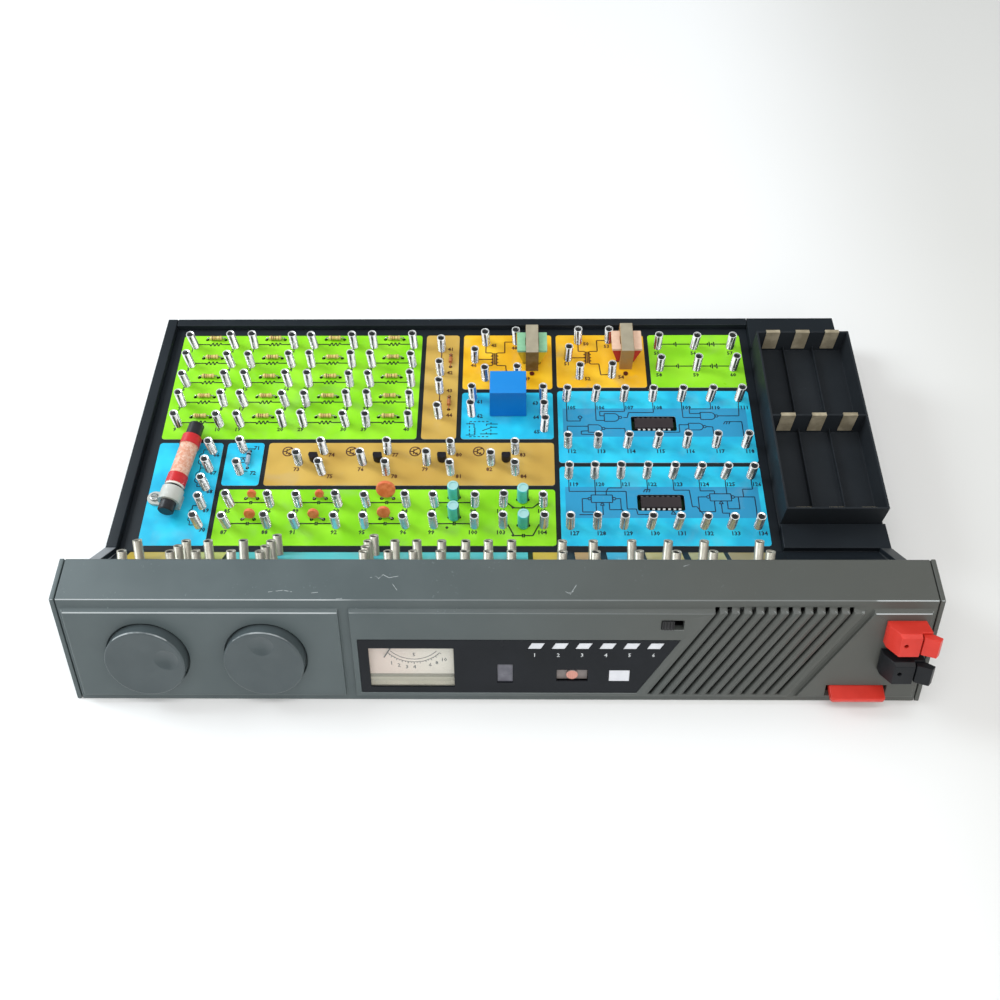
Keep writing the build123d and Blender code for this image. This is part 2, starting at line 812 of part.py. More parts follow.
with BuildPart() as battery_side_frame:
    with BuildSketch(Plane.YZ.offset(frame_x)):
        with BuildLine():
            Polyline(
                (back_y, cover_plate_t),
                (back_y, rail_z),
                (box_back_y + piece_gap, rail_z),
                (box_back_y + piece_gap, seat_z),
                (box_front_y - piece_gap, seat_z),
                (box_front_y - piece_gap, rail_z),
                (fold_y, rail_z),
                (fold_y, deck_z),
                (wing_y, slope_end_z),
                (wing_y, slope_end_z - skin_drop),
                (fold_under, seat_z - deck_t),
                (back_y - deck_t, seat_z - deck_t),
                (back_y - deck_t, cover_plate_t),
                close=True,
            )
        make_face()
    extrude(amount=half_w - frame_x)
    with BuildSketch(Plane.XY.offset(cover_plate_t)) as side_wall_outline:
        with BuildLine():
            Polyline(*tray_side(1), close=True)
        make_face()
    side_wall = extrude(amount=console_h, mode=Mode.PRIVATE)
    with BuildSketch(Plane.YZ.offset(frame_x)):
        with BuildLine():
            Polyline(*rail_side, close=True)
        make_face()
    wall_slab = extrude(amount=half_w - frame_x, mode=Mode.PRIVATE)
    add(side_wall & wall_slab)
    # Seat of the battery box, cut through the side wall too
    with BuildSketch(Plane.XY.offset(seat_z)):
        with Locations((half_w, (box_front_y + box_back_y) / 2)):
            Rectangle(half_w, box_len + 2 * piece_gap)
    extrude(amount=console_h, mode=Mode.SUBTRACT)
    # Trim to the tray's outline
    with BuildSketch(Plane.XY.offset(cover_plate_t)):
        with BuildLine():
            Polyline(
                (frame_x, back_y),
                (side_x(back_y), back_y),
                (side_x(fold_y), fold_y),
                (side_x(wing_y), wing_y),
                (frame_x, wing_y),
                close=True,
            )
        make_face()
    extrude(amount=console_h, mode=Mode.INTERSECT)
save(battery_side_frame.part, "battery_side_frame")

# ---------------------------------------------------------------- deck
with BuildPart() as deck_panel:
    with BuildSketch(Plane.YZ.offset(-half_w)):
        with BuildLine():
            Polyline(
                (deck_back, deck_z),
                (fold_y, deck_z),
                (wing_y, slope_end_z),
                (wing_y, slope_end_z - skin_drop),
                (fold_under, deck_foot),
                (deck_back, deck_foot),
                close=True,
            )
        make_face()
    extrude(amount=half_w + deck_right)
    with BuildSketch(Plane.XY):
        with BuildLine():
            left_edge = [
                (-(side_x(y) - rail_w - piece_gap), y) for y in (wing_y, fold_y, deck_back)
            ]
            Polyline(*left_edge, (deck_right, deck_back), (deck_right, wing_y), close=True)
        make_face()
    extrude(amount=console_h, mode=Mode.INTERSECT)
    # Screw bosses, stepped to carry the wiring board
    with BuildSketch(Plane.XY.offset(wiring_top)):
        with Locations(*deck_boss_points):
            Circle(boss_r)
    extrude(amount=wiring_drop)
    with BuildSketch(Plane.XY.offset(cover_plate_t)):
        with Locations(*deck_boss_points):
            Circle(boss_neck_r)
    extrude(amount=wiring_top - cover_plate_t)
    with BuildSketch(Plane.XY.offset(cover_plate_t)):
        with Locations(*deck_boss_points):
            Circle(screw_r + screw_gap)
    extrude(amount=screw_len, mode=Mode.SUBTRACT)
    # Holes of the terminals, leads and chips
    with BuildSketch(Plane.XY.offset(deck_foot)):
        with Locations(*deck_springs):
            Circle(stem_r + stem_gap)
        with Locations(*lead_points):
            Circle(lead_hole_r)
        with Locations(*chip_points):
            RectangleRounded(chip_hole_len, chip_hole_w, chip_hole_corner)
    extrude(amount=deck_t, mode=Mode.SUBTRACT)
    with BuildSketch(slope_plane):
        with Locations(*[(x, -up) for x, up in slope_springs]):
            Circle(stem_r + stem_gap)
    extrude(amount=-deck_t, mode=Mode.SUBTRACT)
save(deck_panel.part, "deck_panel")

# ---------------------------------------------------------------- printed cards
for node, names in card_nodes.items():
    with BuildPart() as card_set:
        with BuildSketch(Plane.XY.offset(deck_z)):
            for name in names:
                card_left, card_front, card_right, card_back = cards[name]
                with Locations(((card_left + card_right) / 2, (card_front + card_back) / 2)):
                    RectangleRounded(card_right - card_left, card_back - card_front, card_corner)
            with Locations(*deck_springs):
                Circle(stem_r + stem_gap, mode=Mode.SUBTRACT)
            with Locations(*lead_points):
                Circle(lead_hole_r, mode=Mode.SUBTRACT)
            with Locations(*chip_points):
                RectangleRounded(
                    chip_hole_len, chip_hole_w, chip_hole_corner, mode=Mode.SUBTRACT,
                )
        extrude(amount=card_t)
    save(card_set.part, node)

slope_card_foot = 2.6
slope_card_top = slope_len - slope_card_foot / 2
slope_card_spans = [
    (-172.0, -149.2), (-147.8, -126.6), (-122.9, 14.7), (17.0, 28.6), (36.5, 48.0),
    (51.3, 61.0), (69.3, 86.4), (89.6, 105.8), (108.1, 126.5),
]
with BuildPart() as console_cards:
    with BuildSketch(slope_plane):
        for card_left, card_right in slope_card_spans:
            box_between(card_left, slope_card_foot, card_right, slope_card_top)
        with Locations(*[(x, -up) for x, up in slope_springs]):
            Circle(stem_r + stem_gap, mode=Mode.SUBTRACT)
    extrude(amount=card_t)
save(console_cards.part, "console_cards")

# ---------------------------------------------------------------- wiring board and bottom cover
with BuildPart() as wiring_board:
    with BuildSketch(Plane.XY.offset(wiring_top)):
        with Locations(((board_left + deck_right) / 2, (board_front + board_back) / 2)):
            Rectangle(deck_right - board_left - 2 * piece_gap, board_d)
        with Locations(*deck_boss_points):
            Circle(boss_neck_r + boss_play, mode=Mode.SUBTRACT)
        with Locations(*deck_springs):
            Circle(pin_r + pin_gap, mode=Mode.SUBTRACT)
    extrude(amount=-wiring_t)
save(wiring_board.part, "wiring_board")

cover_front = front_y + inner_run + face_run * cover_plate_t / console_h + 2 * fit_gap
key_pivot_z = key_z - key_t / 2
key_hole_r = key_pin_r + shaft_clear
with BuildPart() as bottom_cover:
    with BuildSketch(Plane.XY):
        with BuildLine():
            cap_inside = half_w - cap_t - fit_gap
            Polyline(
                (-cap_inside, cover_front),
                (cap_inside, cover_front),
                (cap_inside, rear_wall_y - piece_gap),
                (side_x(wing_y), rear_wall_y - piece_gap),
                (side_x(fold_y), fold_y),
                (side_x(back_y), back_y),
                (-side_x(back_y), back_y),
                (-side_x(fold_y), fold_y),
                (-side_x(wing_y), rear_wall_y - piece_gap),
                (-cap_inside, rear_wall_y - piece_gap),
                close=True,
            )
        make_face()
    extrude(amount=cover_plate_t)
    # Bearing ears of the code key
    with BuildSketch(Plane.XY.offset(cover_plate_t)):
        for edge in (key_left - key_ear_gap, key_right + key_ear_gap + key_ear_t):
            with Locations((edge - key_ear_t / 2, key_pivot_y)):
                Rectangle(key_ear_t, 4 * key_pin_r)
    extrude(amount=key_z - cover_plate_t + key_pin_r)
    with BuildSketch(Plane.YZ.offset(key_left - 2 * key_ear_t)):
        with Locations((key_pivot_y, key_pivot_z)):
            Circle(key_hole_r)
    extrude(amount=key_right - key_left + 4 * key_ear_t, mode=Mode.SUBTRACT)
    with Locations(*[(x, y, 0) for x, y in deck_boss_points + console_boss_points]):
        CounterBoreHole(
            radius=screw_r + screw_gap,
            counter_bore_radius=screw_head_r + screw_gap,
            counter_bore_depth=screw_head_t + screw_gap,
            mode=Mode.SUBTRACT,
        )
save(bottom_cover.part, "bottom_cover")

# ---------------------------------------------------------------- spring terminals
def terminal(height, below_board, pin_below):
    """A spring on its stem, standing on the origin, as one solid of revolution."""
    with BuildPart() as piece:
        with BuildSketch(Plane.XZ):
            with BuildLine():
                Polyline(
                    (0, spring_floor),
                    (spring_bore, spring_floor),
                    (spring_bore, height - spring_flare),
                    (spring_bore + spring_flare, height),
                    (spring_r, height),
                    (spring_r, spring_lift),
                    (stem_r, spring_lift),
                    (stem_r, -below_board),
                    (pin_r, -below_board),
                    (pin_r, -below_board - pin_below),
                    (0, -below_board - pin_below),
                    close=True,
                )
            make_face()
        revolve(axis=Axis.Z)
    return piece.part


def lean_at(x, y):
    """A small lean, different for every place, about X and Y."""
    return (spring_lean * sin(3 * x + 7 * y), spring_lean * cos(5 * x - 2 * y), 0)


def terminal_group(name, points):
    """Terminals on the deck, grouped in one piece file."""
    with BuildPart() as group:
        with Locations(*[Location((x, y, board_z), lean_at(x, y)) for x, y in points]):
            add(deck_terminal)
    save(group.part, name)


stem_below = card_t + deck_t + stem_tail
deck_pin = board_z - stem_below - (wiring_top - wiring_t - pin_tail)
deck_terminal = terminal(spring_h, stem_below, deck_pin)
slope_terminal = terminal(slope_spring_h, stem_below, slope_pin_len)
terminal_group("resistor_terminals", resistor_springs)
terminal_group(
    "component_terminals",
    diode_springs + germanium_springs + transistor_springs + antenna_springs
    + capacitor_springs,
)
terminal_group("power_terminals", transformer_springs + relay_springs + battery_springs)
terminal_group("logic_terminals", logic_springs)

with BuildPart() as console_terminals:
    places = [Location((x, -up, card_t), lean_at(x, up)) for x, up in slope_springs]
    with Locations(*[slope_plane.location * place for place in places]):
        add(slope_terminal)
save(console_terminals.part, "console_terminals")

# ---------------------------------------------------------------- components on the deck
lead_foot = deck_foot - lead_below


def lead_path(reach, height, bend):
    """A lead along X through two holes, bent down at its ends."""
    return FilletPolyline(
        (-reach, 0, lead_foot),
        (-reach, 0, height),
        (reach, 0, height),
        (reach, 0, lead_foot),
        radius=bend,
    )


def axial(reach, height, profile):
    """A body of revolution along X on a bent lead. profile gives (distance, radius) pairs."""
    with BuildPart() as piece:
        with BuildLine():
            lead = lead_path(reach, height, lead_bend)
        with BuildSketch(Plane(origin=lead @ 0, z_dir=lead % 0)):
            Circle(lead_r)
        sweep(path=lead)
        with BuildSketch(Plane.XZ):
            with BuildLine():
                ends = [(profile[0][0], height), (profile[-1][0], height)]
                Polyline(
                    ends[0], *[(x, height + r) for x, r in profile], ends[1], close=True,
                )
            make_face()
        revolve(axis=Axis((0, 0, height), (1, 0, 0)))
    return piece.part


def upright_leads(spread, places, top):
    """Straight leads beside one another along X."""
    with BuildSketch(Plane.XY.offset(lead_foot)) as lead_feet:
        with Locations(*[(step * spread, 0) for step in places]):
            Circle(lead_r)
    extrude(lead_feet.sketch, amount=top - lead_foot)


lead_bend = 0.8
resistor_r = 1.2
resistor_waist = 1.0
resistor_half = 3.2
resistor_end = 1.1
resistor_rise = 1.4     # axis above the cards
resistor_solid = axial(
    resistor_reach,
    board_z + resistor_rise,
    [
        (-resistor_half, resistor_waist),
        (-resistor_half + resistor_end / 2, resistor_r),
        (-resistor_half + resistor_end, resistor_r),
        (-resistor_half + 2 * resistor_end, resistor_waist),
        (resistor_half - 2 * resistor_end, resistor_waist),
        (resistor_half - resistor_end, resistor_r),
        (resistor_half - resistor_end / 2, resistor_r),
        (resistor_half, resistor_waist),
    ],
)
with BuildPart() as resistors:
    with Locations(*[(x, y, 0) for x, y in resistor_places]):
        add(resistor_solid)
save(resistors.part, "resistors")

silicon_r, silicon_half = 1.0, 2.1
germanium_r, germanium_half = 1.1, 3.2
silicon_solid = axial(
    diode_reach, board_z + resistor_rise, [(-silicon_half, silicon_r), (silicon_half, silicon_r)],
)
germanium_solid = axial(
    germanium_reach,
    board_z + resistor_rise,
    [(-germanium_half, germanium_r), (germanium_half, germanium_r)],
)
with BuildPart() as diodes:
    with Locations(*[Location((x, y, 0), (0, 0, 90)) for x, y in diode_points]):
        add(silicon_solid)
    with Locations(Location((*germanium_point, 0), (0, 0, 90))):
        add(germanium_solid)
save(diodes.part, "diodes")

disc_edge = 0.7


def disc_capacitor(radius, shift):
    """A disc leaning back on two spread leads."""
    tilt = radians(disc_lean)
    foot = board_z + disc_lift
    lift = disc_edge + lead_r
    tip_y, tip_z = lift * sin(tilt), foot + lift * cos(tilt)
    with BuildPart() as piece:
        with BuildSketch(Plane.XZ.offset(-disc_t / 2)) as face:
            with Locations((shift, radius)):
                Circle(radius)
        extrude(face.sketch, amount=disc_t)
        fillet(piece.edges(), radius=disc_edge)
    with BuildPart() as leaning:
        with Locations(Location((0, 0, foot), (-disc_lean, 0, 0))):
            add(piece.part)
        for side in (-1, 1):
            with BuildLine():
                lead = Polyline(
                    (side * disc_spread, 0, lead_foot),
                    (side * disc_spread, 0, board_z),
                    (shift + side * disc_root, tip_y, tip_z),
                )
            with BuildSketch(Plane(origin=lead @ 0, z_dir=lead % 0)):
                Circle(lead_r)
            sweep(path=lead, transition=Transition.RIGHT)
    return leaning.part


with BuildPart() as disc_capacitors:
    for (x, y), (_, _, radius, shift) in zip(disc_points, disc_places):
        with Locations((x, y, 0)):
            add(disc_capacitor(radius, shift))
save(disc_capacitors.part, "disc_capacitors")

can_edge = 0.5
can_groove_z = 2.0
can_groove_depth = 0.3
can_dish = 0.3
with BuildPart() as can_capacitor:
    can_foot = board_z + can_lift
    with BuildSketch(Plane.XY.offset(can_foot)):
        Circle(can_r)
    extrude(amount=can_h)
    fillet(can_capacitor.edges(), radius=can_edge)
    with BuildSketch(Plane.XY.offset(can_foot + can_groove_z)):
        Circle(can_r)
        Circle(can_r - can_groove_depth, mode=Mode.SUBTRACT)
    extrude(amount=2 * can_groove_depth, mode=Mode.SUBTRACT)
    with BuildSketch(Plane.XY.offset(can_foot + can_h)):
        Circle(can_r - 2 * can_edge)
    extrude(amount=-can_dish, mode=Mode.SUBTRACT)
    upright_leads(can_spread, (-1, 1), can_foot + can_edge)
with BuildPart() as electrolytic_capacitors:
    with Locations(*[(x, y, 0) for x, y in can_points]):
        add(can_capacitor.part)
save(electrolytic_capacitors.part, "electrolytic_capacitors")

with BuildPart() as small_transistor:
    with BuildSketch(Plane.XY.offset(board_z + transistor_lift)):
        Circle(transistor_r)
        with Locations((0, transistor_flat + transistor_r)):
            Rectangle(4 * transistor_r, 2 * transistor_r, mode=Mode.SUBTRACT)
    extrude(amount=transistor_h)
    upright_leads(transistor_spread, (-1, 0, 1), board_z + transistor_lift)
with BuildPart() as transistors:
    with Locations(*[(x, y, 0) for x, y in transistor_points]):
        add(small_transistor.part)
save(transistors.part, "transistors")

relay_edge = 0.6
relay_foot = 0.3
with BuildPart() as relay:
    with BuildSketch(Plane.XY.offset(board_z + relay_foot)):
        with Locations(relay_point):
            RectangleRounded(relay_w, relay_d, relay_edge)
    extrude(amount=relay_h, taper=relay_draft)
    with BuildSketch(Plane.XY.offset(board_z)):
        with Locations(*relay_pins):
            Circle(2 * relay_pin_r)
    extrude(amount=relay_foot)
    with BuildSketch(Plane.XY.offset(lead_foot)):
        with Locations(*relay_pins):
            Circle(relay_pin_r)
    extrude(amount=board_z - lead_foot)
save(relay.part, "relay")

# Transformers: an upright E-I core, and a bobbin round its middle leg
yoke_t = 2.2
outer_leg_t = 3.0
middle_leg_half = 2.5
bobbin_gap = 0.2
flange_t = 1.4
tape_inset = 0.5
tape_draw = 2.6         # the winding narrows by this much on each side towards its foot
with BuildPart() as core:
    with BuildSketch(Plane.YZ.offset(-core_w / 2)):
        with Locations((0, board_z + core_h / 2)):
            Rectangle(core_d, core_h)
        window_d = core_d / 2 - outer_leg_t - middle_leg_half
        for side in (-1, 1):
            with Locations((side * (middle_leg_half + window_d / 2), board_z + core_h / 2)):
                Rectangle(window_d, core_h - 2 * yoke_t, mode=Mode.SUBTRACT)
    extrude(amount=core_w)
    chamfer(core.edges().filter_by(Axis.Y).group_by(Axis.Z)[-1], length=bobbin_gap)
with BuildPart() as transformer_cores:
    with Locations(*[(x, y, 0) for x, y in core_points]):
        add(core.part)
save(transformer_cores.part, "transformer_cores")

bobbin_foot = board_z + yoke_t + bobbin_gap
bobbin_top = board_z + core_h - yoke_t - bobbin_gap
bobbin_reach = core_d / 2 - outer_leg_t - bobbin_gap    # half depth inside the core's legs
with BuildPart() as bobbin:
    with BuildSketch(Plane.XZ.offset(tape_inset - bobbin_reach)):
        with BuildLine():
            half_top = bobbin_w / 2 - tape_inset
            Polyline(
                (-half_top, bobbin_top),
                (half_top, bobbin_top),
                (half_top, bobbin_top - 2 * flange_t),
                (half_top - tape_draw, bobbin_foot),
                (tape_draw - half_top, bobbin_foot),
                (-half_top, bobbin_top - 2 * flange_t),
                close=True,
            )
        make_face()
    extrude(amount=2 * (bobbin_reach - tape_inset))
    with BuildSketch(Plane.XY.offset(bobbin_top - flange_t)):
        RectangleRounded(bobbin_w, 2 * bobbin_reach, 2 * bobbin_gap)
    extrude(amount=flange_t)
    with BuildSketch(Plane.XY.offset(bobbin_foot)):
        Rectangle(core_w + 2 * bobbin_gap, 2 * (middle_leg_half + bobbin_gap))
    extrude(amount=core_h, mode=Mode.SUBTRACT)
    with BuildSketch(Plane.XY.offset(lead_foot)):
        with GridLocations(2 * bobbin_pin_x, 2 * bobbin_pin_y, 2, 2):
            Circle(bobbin_pin_r)
    extrude(amount=bobbin_foot - lead_foot)
with BuildPart() as transformer_bobbins:
    with Locations(*[(x, y, 0) for x, y in core_points]):
        add(bobbin.part)
save(transformer_bobbins.part, "transformer_bobbins")

# Logic chips stand on the wiring board and look out through the cards
chip_rise = 0.8         # top of a chip above the cards
chip_lean = 0.35        # draft of its long sides
chip_leg_w = 1.2
chip_leg_t = 0.3
chip_leg_reach = 0.8
chip_shoulder = 0.9     # the legs leave the body this far below its top
chip_notch_r = 0.9


def chip(legs):
    """A dual in-line chip along X, with a number of legs on each side."""
    top = board_z + chip_rise
    foot = top - chip_h
    leg_z = top - chip_shoulder
    with BuildPart() as piece:
        with BuildSketch(Plane.YZ.offset(-chip_len / 2)):
            with BuildLine():
                Polyline(
                    (-chip_w / 2 + chip_lean, foot),
                    (-chip_w / 2, leg_z),
                    (-chip_w / 2 + chip_lean, top),
                    (chip_w / 2 - chip_lean, top),
                    (chip_w / 2, leg_z),
                    (chip_w / 2 - chip_lean, foot),
                    close=True,
                )
            make_face()
        extrude(amount=chip_len)
        with BuildSketch(Plane.XY.offset(top)):
            with Locations((-chip_len / 2, 0)):
                Circle(chip_notch_r)
        extrude(amount=-chip_leg_t, mode=Mode.SUBTRACT)
        first = -(legs - 1) / 2 * chip_pitch - chip_leg_w / 2
        for number in range(legs):
            with BuildSketch(Plane.YZ.offset(first + number * chip_pitch)):
                for side in (-1, 1):
                    with BuildLine():
                        root = side * (chip_w / 2 - chip_lean)
                        tip = side * (chip_w / 2 + chip_leg_reach)
                        Polyline(
                            (root, leg_z),
                            (tip, leg_z),
                            (tip, wiring_top),
                            (tip - side * chip_leg_t, wiring_top),
                            (tip - side * chip_leg_t, leg_z - chip_leg_t),
                            (root, leg_z - chip_leg_t),
                            close=True,
                        )
                    make_face()
            extrude(amount=chip_leg_w)
    return piece.part


with BuildPart() as logic_chips:
    for point, legs in zip(chip_points, chip_leg_counts):
        with Locations((*point, 0)):
            add(chip(legs))
save(logic_chips.part, "logic_chips")

# ---------------------------------------------------------------- aerial
rod_axis = Location((*rod_point, board_z + rod_lift), (0, 0, 90 - rod_turn))
rod_chamfer = 0.5


def tube_along(start, end, outer, inner):
    """A tube round the X axis."""
    with BuildSketch(Plane.YZ.offset(start)) as ring_face:
        Circle(outer)
        if inner:
            Circle(inner, mode=Mode.SUBTRACT)
    extrude(ring_face.sketch, amount=end - start)


with BuildPart() as rod:
    tube_along(-rod_len / 2, rod_len / 2, rod_r, 0)
    chamfer(rod.edges().filter_by(GeomType.CIRCLE), length=rod_chamfer)
with BuildPart() as ferrite_rod:
    with Locations(rod_axis):
        add(rod.part)
save(ferrite_rod.part, "ferrite_rod")

coil_start = coil_shift - coil_len / 2
coil_end = coil_shift + coil_len / 2
with BuildPart() as coil:
    tube_along(coil_start, coil_end, coil_r, rod_r)
    tube_along(coil_start + band_lip, coil_start + band_lip + band_len, band_r, rod_r)
    tube_along(coil_end - band_len, coil_end, band_r, rod_r)
with BuildPart() as antenna_coil:
    with Locations(rod_axis):
        add(coil.part)
save(antenna_coil.part, "antenna_coil")

ring_start = clip_ring_shift - clip_ring_len / 2
ring_wall = clip_ring_r - rod_r
with BuildPart() as ring:
    tube_along(ring_start, ring_start + clip_ring_len, clip_ring_r, rod_r)
with BuildPart() as antenna_clip:
    with Locations(rod_axis):
        add(ring.part)
    # Pedestal under the ring, and the ear with its screw hole
    with BuildSketch(Plane.XY.offset(board_z)):
        with Locations(Location((clip_ring_x, clip_ring_y), -rod_turn)):
            Rectangle(2 * (clip_ring_r - ring_wall), clip_ring_len)
    extrude(amount=rod_lift - rod_r - ring_wall / 2)
    with BuildSketch(Plane.XY.offset(board_z)):
        with Locations(Location(clip_ear_middle, -rod_turn)):
            SlotCenterToCenter(clip_ear_len, 2 * clip_ear_r)
        with Locations(clip_screw_point):
            Circle(clip_screw_r + screw_gap, mode=Mode.SUBTRACT)
    extrude(amount=clip_foot_t)
save(antenna_clip.part, "antenna_clip")

# ---------------------------------------------------------------- knobs
knob_foot = knob_clear - knob_seat
knob_hollow = knob_h - knob_dish - knob_skin
dimple_ball = (dimple_r**2 + dimple_deep**2) / (2 * dimple_deep)
part_depth = 9.0        # body of the tuning capacitor and of the potentiometer
tuning_body = 20.0
potentiometer_r = 8.5


def axis_at(x, s):
    """The axis through a point of the face, square to it."""
    return Axis(face_plane.from_local_coords((x, -s, 0)), face_plane.z_dir)


def knob(x, dimple_turn):
    """A hollow knob with a dished front and a finger dimple."""
    rim = knob_r - knob_edge
    with BuildPart() as piece:
        with BuildSketch(clip_plane(knob_s)):
            with BuildLine():
                Line((x, knob_hollow), (x, knob_h - knob_dish))
                ThreePointArc(
                    (x, knob_h - knob_dish),
                    (x + rim / 2, knob_h - knob_dish * 3 / 4),
                    (x + rim, knob_h),
                )
                ThreePointArc(
                    (x + rim, knob_h),
                    (x + rim + knob_edge * sin(pi / 4), knob_h - knob_edge * (1 - cos(pi / 4))),
                    (x + knob_r, knob_h - knob_edge),
                )
                Polyline(
                    (x + knob_r, knob_h - knob_edge),
                    (x + knob_r, knob_foot),
                    (x + knob_r - knob_skin, knob_foot),
                    (x + knob_r - knob_skin, knob_hollow),
                    (x + hub_r, knob_hollow),
                    (x + hub_r, knob_foot),
                    (x + shaft_r + shaft_clear, knob_foot),
                    (x + shaft_r + shaft_clear, knob_hollow),
                    (x, knob_hollow),
                )
            make_face()
        revolve(axis=axis_at(x, knob_s))
        turn = radians(dimple_turn)
        height = knob_h - dimple_deep + dimple_ball - knob_dish * (1 - (dimple_reach / rim) ** 2)
        ball = (x + dimple_reach * cos(turn), -knob_s + dimple_reach * sin(turn), height)
        with Locations(face_plane.location * Location(ball)):
            Sphere(dimple_ball, mode=Mode.SUBTRACT)
    return piece.part


def knob_shaft(x):
    """The shaft a knob turns on, from inside its hub into the body behind the wall."""
    with BuildPart() as piece:
        with BuildSketch(face_offset(knob_hollow - fit_gap)):
            with Locations((x, -knob_s)):
                Circle(shaft_r)
        extrude(amount=-shaft_len)
    return piece.part


def shaft_bore(x):
    """The running bore of a knob's shaft, with clearance past its end."""
    with BuildPart() as piece:
        with BuildSketch(face_plane):
            with Locations((x, -knob_s)):
                Circle(shaft_r + shaft_clear)
        extrude(amount=knob_hollow - 2 * fit_gap - shaft_len)
    return piece.part


save(knob(tuning_x, tuning_dimple), "tuning_knob")
save(knob(control_x, control_dimple), "control_knob")
save(knob_shaft(tuning_x), "tuning_shaft")
save(knob_shaft(control_x), "control_shaft")

with BuildPart() as tuning_capacitor:
    with BuildSketch(face_offset(-wall)):
        with Locations((tuning_x, -knob_s)):
            RectangleRounded(tuning_body, tuning_body, 2 * lip_overhang)
    extrude(amount=-part_depth)
    add(shaft_bore(tuning_x), mode=Mode.SUBTRACT)
save(tuning_capacitor.part, "tuning_capacitor")

lug_w = 2.0
lug_len = 5.0
with BuildPart() as control_potentiometer:
    with BuildSketch(face_offset(-wall)):
        with Locations((control_x, -knob_s)):
            Circle(potentiometer_r)
    extrude(amount=-part_depth)
    with BuildSketch(face_offset(-wall)):
        for step in (-1, 0, 1):
            with Locations((control_x + 2 * step * lug_w, -knob_s + potentiometer_r)):
                Rectangle(lug_w, lug_len)
    extrude(amount=-contact_t)
    add(shaft_bore(control_x), mode=Mode.SUBTRACT)
save(control_potentiometer.part, "control_potentiometer")

# ---------------------------------------------------------------- window and meter
with BuildPart() as window_panel:
    with BuildSketch(face_offset(panel_rise - window_sink)):
        with BuildLine():
            Polyline(*window_outline, close=True)
        make_face()
        offset(amount=-fit_gap, kind=Kind.INTERSECTION, mode=Mode.REPLACE)
        with BuildSketch(mode=Mode.SUBTRACT):
            box_between(meter_left, meter_top, meter_right, meter_foot)
            box_between(digit_left, digit_top, digit_right, digit_foot)
            box_between(sensor_left, sensor_top, sensor_right, sensor_foot)
            box_between(white_left, white_top, white_right, white_foot)
            for number in range(lamp_count):
                middle = lamp_x + number * lamp_pitch
                with BuildLine():
                    Polyline(*lamp_outline(middle, 0), close=True)
                make_face()
    extrude(amount=-window_t)
save(window_panel.part, "window_panel")

window_back = panel_rise - window_sink - window_t
housing_left = window_left + window_ledge + fit_gap
housing_right = meter_right + meter_wall + window_ledge - fit_gap
housing_foot = window_foot - window_ledge - fit_gap
neck_top = window_top + window_ledge + fit_gap
pivot_x = (meter_left + meter_right) / 2
scale_front = -scale_depth
scale_back = scale_front - scale_t
movement_half = 10.0
movement_foot = 24.0
pivot_boss_r = 2.5
pivot_boss_h = 3.4
with BuildPart() as meter_housing:
    with BuildSketch(face_offset(-meter_back)):
        box_between(housing_left, meter_top_s, housing_right, housing_foot)
    extrude(amount=meter_back - wall)
    with BuildSketch(face_offset(-wall)):
        box_between(housing_left, neck_top, housing_right, housing_foot)
    extrude(amount=window_back - cover_t + wall)
    # Room for the needle, with the scale on its floor, and for the movement behind
    with BuildSketch(face_offset(scale_back)):
        box_between(
            housing_left + meter_wall,
            meter_top_s + meter_wall,
            housing_right - meter_wall,
            housing_foot - meter_wall,
        )
    extrude(amount=meter_back, mode=Mode.SUBTRACT)
    with BuildSketch(face_offset(meter_wall - meter_back)):
        box_between(
            pivot_x - movement_half,
            meter_top_s + meter_wall,
            pivot_x + movement_half,
            movement_foot,
        )
    extrude(amount=meter_back, mode=Mode.SUBTRACT)
    with BuildSketch(face_offset(meter_wall - meter_back)):
        with Locations((pivot_x, -meter_pivot_s)):
            Circle(pivot_boss_r)
            Rectangle(2 * meter_wall, 2 * (meter_pivot_s - meter_top_s - meter_wall))
            Circle(pivot_r + shaft_clear, mode=Mode.SUBTRACT)
    extrude(amount=pivot_boss_h)
save(meter_housing.part, "meter_housing")

with BuildPart() as meter_scale:
    with BuildSketch(face_offset(scale_back)):
        box_between(
            housing_left + meter_wall + fit_gap,
            meter_top_s + meter_wall + fit_gap,
            housing_right - meter_wall - fit_gap,
            housing_foot - meter_wall - fit_gap,
        )
        with Locations((pivot_x, -meter_pivot_s)):
            Circle(pivot_r + needle_clear, mode=Mode.SUBTRACT)
    extrude(amount=scale_t)
save(meter_scale.part, "meter_scale")

with BuildPart() as meter_needle:
    with BuildSketch(face_offset(meter_wall - meter_back + fit_gap)):
        with Locations((pivot_x, -meter_pivot_s)):
            Circle(pivot_r)
    extrude(amount=meter_back - meter_wall - fit_gap + scale_front + needle_clear)
    with BuildSketch(face_offset(scale_front + needle_clear)):
        with Locations(Location((pivot_x, -meter_pivot_s), -90 - needle_rest)):
            with Locations(((needle_reach - pivot_r) / 2, 0)):
                Rectangle(needle_reach + pivot_r, needle_w)
            Circle(pivot_r)
    extrude(amount=needle_t)
save(meter_needle.part, "meter_needle")

with BuildPart() as meter_cover:
    with BuildSketch(face_offset(window_back)):
        box_between(housing_left, neck_top, housing_right, housing_foot)
    extrude(amount=-cover_t)
save(meter_cover.part, "meter_cover")

# ---------------------------------------------------------------- display behind the window
board_face = pcb_t - pcb_back
lens_sink = 0.3         # below the window's front
block_sink = 0.8
lens_gap = 0.15
with BuildPart() as display_board:
    with BuildSketch(face_offset(-pcb_back)):
        box_between(pcb_left, pcb_top, pcb_right, pcb_foot)
        with Locations(*stake_points):
            Circle(stake_pin_r + fit_gap, mode=Mode.SUBTRACT)
    extrude(amount=pcb_t)
save(display_board.part, "display_board")

